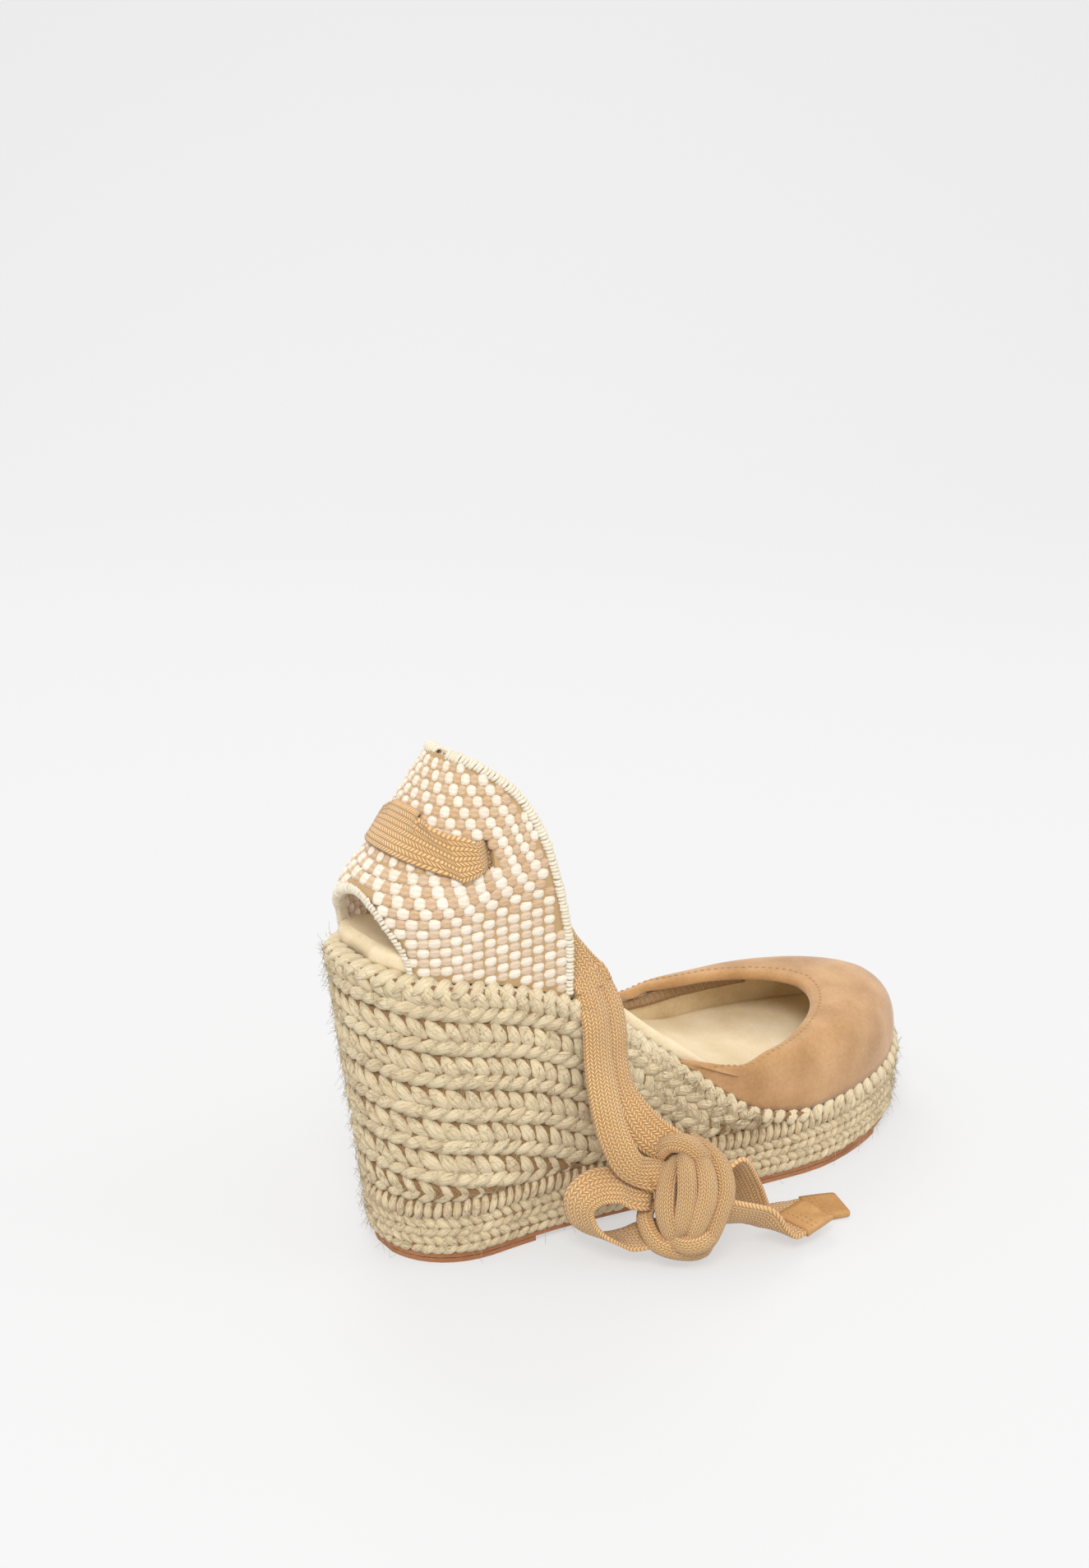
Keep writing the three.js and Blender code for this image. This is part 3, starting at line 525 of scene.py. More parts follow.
def cloth(name, dark, light, column, pitch, depth):
    """A flat braid or rib laid out on the piece's own millimetres, with painted shade: its colour
    darkens into the braid's grooves.
    """
    mat, t, skin = material(name, 0.9, 0.3)
    where = t.place("UV")
    height = group_node(t, BRAID, Vector=where, Column=column, Pitch=pitch).outputs[0]
    fibre = t.noise(where, 4.0, 4.0)
    patch = t.noise(t.place("Object"), 45.0, 2.0)
    # Colour follows the braid's height: painted shade in the grooves, lighter on the ridges.
    shade = t.plus(t.times(height, 0.75), t.times(fibre, 0.25))
    colour = t.blend(shade, rgb(dark), rgb(light))
    colour = t.blend(t.spread(patch, 0.35, 0.65, 0.22), colour, rgb(dark))
    t.feed(skin.inputs["Base Color"], colour)
    bump(t, skin, t.plus(height, t.times(fibre, 0.3)), depth)
    return mat


def hide(name, dark, light, rough, cells, depth, sheen=0.0):
    """Leather or suede; also the rubber and the cores."""
    mat, t, skin = material(name, rough, sheen)
    grain = group_node(t, GRAIN, Vector=t.place("Object"), Cells=cells)
    nap = t.noise(t.place("Object"), 900.0, 3.0)
    shade = t.plus(t.times(t.spread(grain.outputs["Patches"], 0.3, 0.7), 0.5), t.times(nap, 0.5))
    t.feed(skin.inputs["Base Color"], t.blend(shade, rgb(dark), rgb(light)))
    bump(t, skin, t.plus(grain.outputs["Height"], nap), depth)
    return mat


JUTE = yarn("jute", "#a37b45", "#fff1cb", 3.2, 0.9, run=0.2)
# The plait's core rows, seen only in the gaps between the lobes, in a darker jute: painted shade in
# those gaps.
JUTE_GROUND_PAINTED_SHADE = yarn("jute_ground_painted_shade", "#6f5030", "#a98457", 40.0, 0.3, run=20.0)
COUNTER_YARN = yarn("counter_yarn", "#b99060", "#f2ede0", 2.2, 0.3)
COUNTER_GROUND = yarn("counter_ground", "#a58255", "#cdb085", 30.0, 0.2, run=30.0)
EDGE_YARN = yarn("edge_yarn", "#c9b796", "#f3ecdc", 2.5, 0.25)
THREAD = yarn("thread", "#8a6233", "#c79f68", 4.0, 0.08)
# The tape's and the rib's dark colour is painted shade in the braid's grooves; it also tints random
# patches.
TAPE = cloth("cotton_tape", "#a06b33", "#ffd394", 1.45, 1.25, 0.5)
RIB = cloth("gusset_rib", "#8a6238", "#d1a773", 1.3, 0.5, 0.3)
SUEDE_SKIN = hide("suede", "#94683a", "#c99f70", 0.95, 1500.0, 0.06, 0.3)
INSOLE_SKIN = hide("insole_leather", "#d3bd93", "#f0e0c2", 0.5, 1000.0, 0.05)
LINING_SKIN = hide("lining_leather", "#b89b6f", "#e2cda6", 0.75, 900.0, 0.12)
TIP_SKIN = hide("tip_leather", "#a1713f", "#cd9f6a", 0.5, 1100.0, 0.06)
RUBBER_SKIN = hide("rubber_crepe", "#8a5736", "#b47e58", 0.7, 420.0, 0.4)
CORE_SKIN = hide("cores", "#a98a5e", "#c9ab7c", 0.9, 500.0, 0.1)


# ---- repeated pieces ----
def pattern_tree(name, on_guide):
    """Lays one shape over and over: along a guide line, or on each point of a guide."""
    tree = bpy.data.node_groups.new(name, "GeometryNodeTree")
    for label, kind, value in (
            ("Geometry", "NodeSocketGeometry", None), ("Shape", "NodeSocketObject", None),
            ("Pitch", "NodeSocketFloat", 0.005), ("Slant", "NodeSocketFloat", 0.0),
            ("Turn Spread", "NodeSocketFloat", 0.08), ("Size Spread", "NodeSocketFloat", 0.08),
            ("Seed", "NodeSocketInt", SEED), ("Material", "NodeSocketMaterial", None)):
        socket = tree.interface.new_socket(label, in_out="INPUT", socket_type=kind)
        if value is not None:
            socket.default_value = value
    tree.interface.new_socket("Geometry", in_out="OUTPUT", socket_type="NodeSocketGeometry")
    t = Tree(tree)
    inp = t.add("NodeGroupInput").outputs

    def named(label, kind="FLOAT_VECTOR"):
        return t.add("GeometryNodeInputNamedAttribute", {"data_type": kind}, Name=label).outputs[0]

    def chance(step, span=1.0):
        return t.add("FunctionNodeRandomValue", {"data_type": "FLOAT"}, _2=-span, _3=span,
                     Seed=t.plus(inp["Seed"], float(step))).outputs[1]

    if on_guide:
        line = t.add("GeometryNodeMeshToCurve", Mesh=inp["Geometry"])
        spaced = t.add("GeometryNodeCurveToPoints", {"mode": "LENGTH"}, Curve=line.outputs[0],
                       Length=inp["Pitch"])
        points, ahead = spaced.outputs["Points"], spaced.outputs["Tangent"]
    else:
        points, ahead = inp["Geometry"], named("ahead")
    facing = t.add("FunctionNodeAxesToRotation", {"primary_axis": "X", "secondary_axis": "Z"},
                   _0=ahead, _1=named("out"))
    turn = inp["Turn Spread"]
    shake = t.add("ShaderNodeCombineXYZ", X=t.times(turn, chance(1)), Y=t.times(turn, chance(2)),
                  Z=t.plus(inp["Slant"], t.times(turn, chance(3))))
    by = t.add("FunctionNodeEulerToRotation", Euler=shake.outputs[0])
    turned = t.add("FunctionNodeRotateRotation", {"rotation_space": "LOCAL"}, _0=facing.outputs[0],
                   _1=by.outputs[0])
    size = t.add("ShaderNodeVectorMath", {"operation": "SCALE"}, _0=named("size"),
                 Scale=t.plus(1.0, t.times(inp["Size Spread"], chance(4))))
    shape = t.add("GeometryNodeObjectInfo", Object=inp["Shape"], As_Instance=True)
    laid = t.add("GeometryNodeInstanceOnPoints", Points=points, Instance=shape.outputs["Geometry"],
                 Rotation=turned.outputs[0], Scale=size.outputs[0])
    toned = t.add("GeometryNodeStoreNamedAttribute", {"data_type": "FLOAT", "domain": "INSTANCE"},
                  Geometry=laid.outputs[0], Name="tone",
                  Value=t.plus(named("shade", "FLOAT"), chance(5, 0.16)))
    real = t.add("GeometryNodeRealizeInstances", Geometry=toned.outputs[0])
    done = t.add("GeometryNodeSetMaterial", Geometry=real.outputs[0], Material=inp["Material"])
    t.feed(t.add("NodeGroupOutput").inputs[0], done.outputs[0])
    return tree


ALONG_GUIDE = pattern_tree("pieces_along_a_guide", True)
ON_POINTS = pattern_tree("pieces_on_points", False)


def guide_object(points, outs, sizes=V(1, 1, 1), shades=0.5, aheads=None, breaks=(), closed=False):
    """A guide in sandal millimetres with the directions, sizes and shades that the pieces take:
    one for each point, or one for all."""
    count = len(points)
    sizes = sizes if isinstance(sizes, list) else [sizes] * count
    shades = shades if isinstance(shades, list) else [shades] * count
    mesh = bpy.data.meshes.new("guide")
    edges = [] if aheads else [(i, i + 1) for i in range(count - 1) if i + 1 not in breaks]
    if closed:
        edges.append((count - 1, 0))
    mesh.from_pydata([world(p) for p in points], edges, [])
    for label, values in (("out", outs), ("size", sizes), ("ahead", aheads or [])):
        if values:
            data = mesh.attributes.new(label, "FLOAT_VECTOR", "POINT").data
            data.foreach_set("vector", np.asarray([tuple(v) for v in values], dtype=np.float32).ravel())
    mesh.attributes.new("shade", "FLOAT", "POINT").data.foreach_set("value", shades)
    return put("guide", mesh)


def lay(name, guides, shape, mat, pitch=5.0, turn=0.08, size=0.08, slant=0.0):
    """Runs the pattern on each guide and joins what it lays into one plain mesh."""
    common = {"Shape": shape, "Material": mat, "Pitch": pitch * MM, "Slant": slant,
              "Turn Spread": turn, "Size Spread": size}
    bm = bmesh.new()
    for guide, own in guides:
        values = {**common, **own}
        tree = ON_POINTS if "ahead" in guide.data.attributes else ALONG_GUIDE
        mod = guide.modifiers.new("pattern", "NODES")
        mod.node_group = tree
        for item in tree.interface.items_tree:
            if item.in_out == "INPUT" and item.name in values:
                mod[item.identifier] = values[item.name]
        bpy.context.view_layer.update()
        held = guide.evaluated_get(bpy.context.evaluated_depsgraph_get())
        part = bpy.data.meshes.new_from_object(held)
        bm.from_mesh(part)
        old = guide.data
        bpy.data.objects.remove(guide)
        bpy.data.meshes.remove(old)
        bpy.data.meshes.remove(part)
    mesh = bpy.data.meshes.new(name)
    bm.to_mesh(mesh)
    bm.free()
    mesh.materials.clear()
    mesh.materials.append(mat)
    mesh.polygons.foreach_set("material_index", [0] * len(mesh.polygons))
    smooth(mesh)
    return put(name, mesh)


def shape_object(name, points, faces, uvs):
    """A small shape in metres about its own origin, kept out of sight."""
    x, y = PART_ORIGIN
    obj = mesh_object(name, [V(p[0] + x, p[1] + y, p[2]) for p in points], faces, uvs)
    obj.hide_render = True
    obj.hide_set(True)
    return obj


def lobe(name, length, width, thick, around=10, steps=6, ridge=0.1, tuck=0.35, taper=0.62):
    """A spindle of yarn along X that bulges towards Z and tucks both ends in."""
    points, uvs = [], []
    for t in ramp(0, 1, steps):
        r = max(0.12, math.sin(math.pi * mix(0.04, 0.96, t))) ** taper
        drop = tuck * thick * (2 * t - 1) ** 2
        for j in range(around):
            a = 2 * math.pi * j / around
            w = r * (1 + ridge * math.cos(3 * a + 2 * t))
            points.append((length * (t - 0.5), width / 2 * w * math.sin(a),
                           thick / 2 * w * math.cos(a) - drop))
            uvs.append((t * length, (1 - abs(2 * j / around - 1)) * width * 0.9))
    return shape_object(name, points, tube_faces(steps, around), uvs)


def open_ring(name, radius, yarn_radius):
    """A yarn loop round the X axis, open on the side away from Z."""
    steps, around, sweep = 9, 6, math.radians(300)
    points, uvs = [], []
    for i, t in enumerate(ramp(0, 1, steps)):
        a = sweep * (t - 0.5)
        centre = V(mix(-0.7, 0.7, t), radius * math.sin(a), radius * math.cos(a))
        side = V(0, math.sin(a), math.cos(a))
        for j in range(around):
            b = 2 * math.pi * j / around
            points.append(centre + side * (yarn_radius * math.cos(b))
                          + V(yarn_radius * math.sin(b), 0, 0))
            uvs.append((i * 0.9, abs(2 * j / around - 1) * 3))
    return shape_object(name, points, tube_faces(steps, around), uvs)


# ---- plaited jute ----
LOBE = lobe("shape_lobe", 12.4, 4.9, 3.7, ridge=0.13, tuck=0.45)
SMALL_LOBE = lobe("shape_small_lobe", 7.4, 3.3, 2.8, ridge=0.12, tuck=0.45)
RIB_LOBE = lobe("shape_rib", 7.4, 3.1, 3.0, ridge=0.06, tuck=0.2)
WEDGE_FLOOR = BAND_TOP + 0.3
HAIRS = 5200


def row_guide(heights, share, reach, inset, shade, full, closed=False):
    """A line along the sole's side at a share of a row's height, from -reach to reach."""
    points, outs, sizes = [], [], []
    places = ramp(-reach, reach, 240)
    for q in places[:-1] if closed else places:
        s = along(q)
        low, high = heights(s)
        level = min(1, max(0, (high - spring(s)) / (seat_at(s) - spring(s))))
        out = outward(q, level)
        points.append(side_point(q, mix(low, high, share), inset))
        outs.append(V(out.x, out.y, 0.05))
        grow = min(1, (high - low) / full) ** 0.6
        sizes.append(V(grow, grow, grow))
    return guide_object(points, outs, sizes, shade, closed=closed)


def wedge_heights(k):
    def at(s):
        top = seat_at(s) - k * WEDGE_ROW_PITCH
        return max(WEDGE_FLOOR, top - WEDGE_ROW_PITCH + 0.3), top
    return at


def band_heights(k):
    bottom = BAND_BOTTOM + k * BAND_ROW_HEIGHT
    return lambda s: (bottom + spring(s), bottom + BAND_ROW_HEIGHT + spring(s))


def row_end(k):
    """How far from the heel a wedge row runs before the base band cuts it off."""
    low, high = 0.02, 0.7
    for _ in range(20):
        s = (low + high) / 2
        if seat_at(s) - k * WEDGE_ROW_PITCH - WEDGE_FLOOR > 3.4:
            low = s
        else:
            high = s
    return place_of(low)


def plait(name, guides, shape, pitch, turn, size, slant=0.0):
    obj = lay(name, guides, shape, JUTE, pitch, turn, size, math.radians(slant))
    settle(obj, "sandal", "jute_braid")


def jute_rows():
    """Two lines of lobes to a plaited row, leaning opposite ways, and the base band's ribbed top row."""
    upper, lower = math.radians(-37), math.radians(29)
    wedge, band = [], []
    for k in range(WEDGE_ROWS):
        for share, slant, seed in ((0.7, upper, 3), (0.29, lower, 11)):
            guide = row_guide(wedge_heights(k), share, row_end(k), 0.75, 0.75, WEDGE_ROW_PITCH)
            wedge.append((guide, {"Slant": slant, "Seed": seed + 7 * k}))
    plait("jute_wedge_plait", wedge, LOBE, 5.3, 0.1, 0.07)
    for k in range(BAND_ROWS - 1):
        for share, slant, seed in ((0.74, upper, 5), (0.26, lower, 9)):
            guide = row_guide(band_heights(k), share, 1, 0.6, 0.65, 1, closed=True)
            band.append((guide, {"Slant": slant, "Seed": seed + 5 * k}))
    plait("jute_band_plait", band, SMALL_LOBE, 3.6, 0.12, 0.08)
    ribs = row_guide(band_heights(BAND_ROWS - 1), 0.5, 1, 0.6, 0.65, 1, closed=True)
    plait("jute_stitched_ribs", [(ribs, {})], RIB_LOBE, 3.0, 0.09, 0.05, 82)


def seat_edge():
    """The top row rolls over the seat's edge as far as the insole."""
    points, outs = [], []
    for q in ramp(-1, 1, 420)[:-1]:
        out = outward(q, 1)
        points.append(side_point(q, seat_at(along(q)), 2.3) - V(0, 0, 0.1))
        outs.append(V(out.x * 0.45, out.y * 0.45, 0.9))
    guide = guide_object(points, outs, V(0.85, 0.9, 0.8), 0.8, closed=True)
    plait("jute_seat_edge", [(guide, {"Seed": 21})], LOBE, 5.6, 0.1, 0.06, 48)


def stray_fibres():
    """Loose hairs that stand off the plait, each a bent three-sided spike."""
    rng = random.Random(SEED)
    points, faces, uvs = [], [], []
    for _ in range(HAIRS):
        band = rng.random() < 0.3
        if band:
            q = rng.uniform(-1, 1)
            z = rng.uniform(BAND_BOTTOM, BAND_TOP)
        else:
            q = rng.uniform(-1, 1) * row_end(0)
            top = seat_at(along(q))
            if top < WEDGE_FLOOR + 6:
                continue
            z = rng.uniform(WEDGE_FLOOR, top)
        root = side_point(q, z + (spring(along(q)) if band else 0), -0.6)
        out = outward(q, 1)
        ahead = V(-out.y, out.x, 0)
        a = rng.uniform(0, 2 * math.pi)
        run = (ahead * math.cos(a) + V(0, 0, 1) * math.sin(a)) * 0.93 + out * rng.uniform(0.1, 0.5)
        size = rng.uniform(1.8, 5.6)
        bend = out * rng.uniform(-0.4, 0.5) + ahead * rng.uniform(-0.5, 0.5)
        bend = (bend + V(0, 0, rng.uniform(-0.5, 0.3))) * size
        side = run.cross(out).normalized()
        faces += tube_faces(3, 3, len(points))
        for t in ramp(0, 1, 3):
            centre = root + run * (size * t) + bend * (t * t * 0.5)
            r = mix(0.085, 0.04, t)
            for j in range(3):
                b = 2 * math.pi * j / 3
                points.append(centre + side * (r * math.cos(b)) + out * (r * math.sin(b)))
                uvs.append((t * size, j * 0.1))
    settle(mesh_object("jute_stray_fibres", points, faces, uvs, JUTE), "sandal", "jute_braid")


# ---- insole ----
def insole():
    """The leather sock, rolled down over the edge of the board and foam."""
    edge = [(4.5, 0.75), (4.25, 2.2), (4.3, 4.4), (4.7, 5.6), (5.6, 6.15), (7.5, 6.3)]
    sections, uvs = [], []
    for q in ramp(0.055, 0.945, 110):
        seat = seat_at(along(q))
        near, far = [[side_point(sign * q, seat, inset) + V(0, 0, up) for inset, up in edge]
                     for sign in (-1, 1)]
        top = [near[-1].lerp(far[-1], k / 8) for k in range(1, 8)]
        bottom = [far[0].lerp(near[0], k / 18) for k in range(1, 18)]
        loop = near + top + far[::-1] + bottom
        sections.append(loop)
        uvs.append([(p.x, p.y) for p in loop])
    obj = loft("insole_sock_leather", sections, uvs, INSOLE_SKIN)
    settle(obj, "sandal", "insole_leather", "insole_sock")


# ---- vamp ----
def vamp_piece(name, p_from, p_to, steps, run, mat, sink=0.0):
    """run is a closed section of (v, depth) places on the vamp, followed along p. Past v = 1 it
    rolls over the topline, and depth is (radius, set back). sink lowers the piece towards the
    wings' ends."""
    sections, uvs = [], []
    across = 0.0
    for p in ramp(p_from, p_to, steps):
        loop = []
        ending = max(0, (abs(p) - 0.82) / 0.18)
        thin = mix(1, 0.3, ending)
        for v, depth in run:
            if v <= 1:
                v *= 1 - sink * ending
                loop.append(vamp_surface(p, v) - vamp_normal(p, v) * (depth * thin))
            else:
                turn = (v - 1) * math.pi
                edge = vamp_surface(p, 1)
                up = (edge - vamp_surface(p, 0.99)).normalized()
                r, back = depth[0] * thin, depth[1] * thin
                loop.append(edge - vamp_normal(p, 1) * (back - r * math.cos(turn))
                            + up * (r * math.sin(turn)))
        if sections:
            across += (loop[0] - sections[-1][0]).length
        sections.append(loop)
        uvs.append([(across, high) for high in lengths(loop)])
    return loft(name, sections, uvs, mat)


def vamp():
    """The suede with its rolled topline, the lining, the ribbed gusset and the topline's stitches."""
    outer = [(v, 0.0) for v in ramp(0, 1, 22)]
    roll = [(1 + i / 8, (1.9, 1.9)) for i in range(1, 8)]
    inner = [(1.0, 3.8), (0.97, 3.9), (0.94, 3.9), (0.915, 3.75)]
    back = [(0.915, 2.85), (0.95, 2.7), (0.985, 2.4), (0.985, 1.3), (0.9, 1.1)]
    back += [(v, 1.1) for v in ramp(0.85, 0.0, 12)]
    obj = vamp_piece("vamp_suede_upper", -1, 1, 120, outer + roll + inner + back, SUEDE_SKIN)
    settle(obj, "sandal", "suede", "vamp_suede")
    lining = [(v, 3.8) for v in ramp(0.02, 0.955, 16)] + [(v, 2.95) for v in ramp(0.955, 0.02, 16)]
    obj = vamp_piece("vamp_lining_leather", -0.94, 0.94, 90, lining, LINING_SKIN, sink=0.8)
    settle(obj, "sandal", "lining_leather", "vamp_lining")
    gusset = [(v, 4.5) for v in ramp(0.3, 0.925, 8)] + [(v, 3.95) for v in ramp(0.925, 0.3, 8)]
    settle(vamp_piece("vamp_gusset", 0.5, 0.88, 40, gusset, RIB, sink=0.8), "sandal", "suede")
    points, outs = [], []
    for p in ramp(-0.97, 0.97, 160):
        top, v = vamp_surface(p, 1), 0.995
        while (vamp_surface(p, v) - top).length < 2.8:
            v -= 0.004
        outs.append(vamp_normal(p, v))
        points.append(vamp_surface(p, v) + outs[-1] * 0.12)
    stitch = lobe("shape_stitch", 1.9, 0.7, 0.6, around=8, steps=5, ridge=0, tuck=0.5)
    obj = lay("vamp_stitching", [(guide_object(points, outs), {})], stitch, THREAD, 2.5, 0.06)
    settle(obj, "sandal", "suede")


# ---- woven counter ----
def arch_height(y):
    """Height of the cut-out's edge at y, or -1 beside it."""
    if abs(y) >= CUTOUT_HALF_WIDTH:
        return -1.0
    return HEEL_HEIGHT - 3 + (CUTOUT_HEIGHT + 3) * math.sqrt(1 - (y / CUTOUT_HALF_WIDTH) ** 2)


def counter_weave():
    """Pads of weft and warp yarn in a plain weave over both faces of the counter. The columns are
    spaced evenly round the counter's middle and keep their stations above and below it."""
    cell, rise, middle = 3.25, 2.95, HEEL_HEIGHT + 28
    samples = 800
    fine = ramp(-2, 2, samples)
    step = 2 / samples
    run = lengths([cup_station(k, middle, 0) for k in fine])
    columns = []
    for c in range(-40, 41):
        want = run[samples // 2] + c * cell
        i = bisect.bisect_right(run, want) - 1
        if 0 <= i < len(run) - 1:
            columns.append((c, mix(fine[i], fine[i + 1], (want - run[i]) / (run[i + 1] - run[i]))))

    def across(k, z, depth):
        return cup_station(k + step, z, depth) - cup_station(k - step, z, depth)

    pads = {True: [], False: []}
    for side, depth in ((1, 0.05), (-1, WEAVE - 0.05)):
        for row in range(30):
            z = seat_at(COUNTER_FRONT / SOLE_LENGTH) + 1.5 + rise * row
            if z >= COUNTER_TOP:
                break
            for c, k in columns:
                p = cup_station(k, z, depth)
                inside = rim_x(z) - 1.7 > p.x
                above = z > seat_at(max(0.0, p.x) / SOLE_LENGTH) + 2.0
                arch = p.x > 24 or z > arch_height(p.y) + 1.5
                slot = abs(p.x - SLOT_X) > 3.0 or abs(z - SLOT_Z) > 5.4
                if not (inside and above and arch and slot):
                    continue
                over = (c + row) % 2 == 0
                wide = max(0.45, min(1.2, across(k, z, depth).length / across(k, middle, 0).length))
                ahead = across(k, z, depth).normalized()
                up = cup_station(k, z + 0.5, depth) - p
                out = ahead.cross(up.normalized()) * side
                if out.dot(p - V(40, 0, p.z)) * side < 0:
                    out = -out
                shade = 1.0 if over else 0.05 if z < HEEL_HEIGHT + 14 else -0.4
                pads[over].append((p, out, V(wide, min(1.3, up.length / 0.5), 1), shade, ahead))
    for over, name, length, width, thick, tuck in (
            (True, "weft", 4.2, 3.3, 2.0, 0.4), (False, "warp", 3.5, 3.2, 1.35, 0.3)):
        shape = lobe("shape_" + name, length, width, thick, steps=5, ridge=0.05, tuck=tuck, taper=0.34)
        guide = guide_object(*map(list, zip(*pads[over])))
        obj = lay("counter_" + name, [(guide, {})], shape, COUNTER_YARN, turn=0.07, size=0.06)
        settle(obj, "sandal", "woven_cotton")


def overcast():
    """Yarn wound round the counter's cut edges."""
    rings = []
    start = seat_at(COUNTER_FRONT / SOLE_LENGTH) + 2.4
    path = [(COUNTER_FRONT, start), (COUNTER_FRONT, mix(start, HEEL_HEIGHT, 0.35))]
    path += [(p.x, p.y) for p in RIM_CURVE]
    for side in (-1, 1):
        points, outs = [], []
        for i, (x, z) in enumerate(path):
            a, b = path[max(0, i - 1)], path[min(len(path) - 1, i + 1)]
            d = math.hypot(b[0] - a[0], b[1] - a[1])
            nx, nz = (b[1] - a[1]) / d, -(b[0] - a[0]) / d
            p = cup_station(side * station_at(x, z, WEAVE / 2), z, WEAVE / 2)
            if abs(p.y) < 1.5:
                continue
            points.append(V(x + nx * 0.5, p.y, z + nz * 0.5))
            outs.append(V(nx, 0, nz))
        if side > 0:
            points.append(V(points[-1].x - 0.6, 0, points[-1].z + 0.1))
            outs.append(outs[-1])
        rings.append((guide_object(*even(points, 120, outs), shades=0.55), {"Seed": 4 + side}))
    points, outs = [], []
    for i in range(3, 62):
        a = math.pi * i / 64
        y = (CUTOUT_HALF_WIDTH - 0.5) * math.cos(a)
        z = HEEL_HEIGHT - 3 + (CUTOUT_HEIGHT + 2.5) * math.sin(a)
        h = (z - HEEL_HEIGHT) / CUP_RISE
        half = HEEL_WIDTH / 2 - COUNTER_INSET - CUP_LEAN(h) - WEAVE / 2
        points.append(cup_point(math.asin(y / half), z, WEAVE / 2))
        outs.append(V(0, -math.cos(a), -math.sin(a)))
    rings.append((guide_object(points, outs, shades=0.55), {"Seed": 9}))
    ring = open_ring("shape_overcast", 1.35, 0.66)
    obj = lay("counter_overcast", rings, ring, EDGE_YARN, 1.2, 0.12, slant=0.18)
    settle(obj, "sandal", "binding_yarn")


# ---- tie ----
def ribbon(name, route, count, width, thick=TAPE_THICKNESS, fold=0.0, shift=0.0):
    """A flat tape along (point, direction across) pairs. width gives its width at a share of the
    length, fold draws its edges back where it is narrowed, shift moves its braid along."""
    path = spline_points([r[0] for r in route], count)
    sides = []
    for t in (i / (count - 1) * (len(route) - 1) for i in range(count)):
        k = min(int(t), len(route) - 2)
        sides.append(Vector(route[k][1]).normalized().lerp(Vector(route[k + 1][1]).normalized(), t - k))
    path, sides = even(path, count, sides)
    shares = [-0.5, -0.49, -0.4, -0.2, 0, 0.2, 0.4, 0.49, 0.5]
    run = lengths(path)
    sections, uvs = [], []
    for i, p in enumerate(path):
        ahead = (path[min(count - 1, i + 1)] - path[max(0, i - 1)]).normalized()
        across = (sides[i] - ahead * sides[i].dot(ahead)).normalized()
        up = ahead.cross(across)
        loop, coords = [], []
        wide = width(i / (count - 1))
        for face in (1, -1):
            for a in shares[::face]:
                edge = 0.35 if abs(a) > 0.495 else 0.8 if abs(a) > 0.48 else 1.0
                rise = thick / 2 * edge * face - fold * (TAPE_WIDTH - wide) * (2 * a) ** 2
                loop.append(p + across * (a * wide) + up * rise)
                coords.append((a * TAPE_WIDTH, run[i] + shift))
        sections.append(loop)
        uvs.append(coords)
    return loft(name, sections, uvs, TAPE), path


def tie_band():
    """Band round the back of the heel with its run inside the counter on each side."""
    entry, way_out = SLOT_X - 1.7, SLOT_X + 1.7
    outside, inside, narrow = -1.65, 3.1, 8.6
    turn_x = entry - 7.4
    turn_k = station_at(turn_x + 0.4, BAND_BACK_Z)
    end_x = COUNTER_FRONT - 6.5
    end_z = seat_at(end_x / SOLE_LENGTH) + 24.1

    def at_x(x):
        return lambda h: station_at(x, h)

    # Each place along the band: the station at a height, the middle's height, depth and width.
    outer, inner = [], []
    for t in ramp(0, 1, 29):
        k = turn_k * t
        z = mix(BAND_BACK_Z, SLOT_Z, (t * 0.8) ** 2)
        x = cup_station(k, z, 0).x
        outer.append((lambda h, k=k, x=x, t=t: mix(k, station_at(x, h), t ** 2.5), z, outside,
                      TAPE_WIDTH))
    for t in ramp(0, 1, 8)[1:]:
        outer.append((at_x(mix(turn_x, entry, t)), SLOT_Z, mix(outside, -1.4, t),
                      mix(TAPE_WIDTH, narrow, t ** 2)))
    for t in ramp(0, 1, 6)[1:-1]:
        outer.append((at_x(mix(entry, way_out, t)), SLOT_Z, mix(-1.4, 2.9, t), narrow - 0.2))
    slope = (SLOT_Z - end_z) / (end_x - SLOT_X)
    for t in ramp(0, 1, 15):
        tall = TAPE_WIDTH * math.sqrt(1 + (slope * min(1, 2.2 * t)) ** 2)
        inner.append((at_x(mix(way_out, end_x, t)), mix(SLOT_Z, end_z, t ** 1.25), inside, tall))

    def loops(side, items):
        out = []
        for station, z, depth, tall in items:
            loop = []
            for face in (-1, 1):
                for a in (-0.5, -0.46, -0.25, 0, 0.25, 0.46, 0.5)[::-face]:
                    h = z + a * tall
                    thick = 0.3 if abs(a) > 0.48 else 0.75
                    p = cup_station(side * station(h), h, depth + face * thick)
                    loop.append((p, a * TAPE_WIDTH))
            out.append(loop)
        return out

    both = loops(-1, outer + inner)[::-1] + loops(1, outer[1:] + inner[:6])
    run = lengths([loop[3][0] for loop in both])
    sections = [[p for p, _ in loop] for loop in both]
    uvs = [[(a, d) for _, a in loop] for loop, d in zip(both, run)]
    settle(loft("tie_band_tape", sections, uvs, TAPE), "sandal", "cotton_tape", "tie_band")


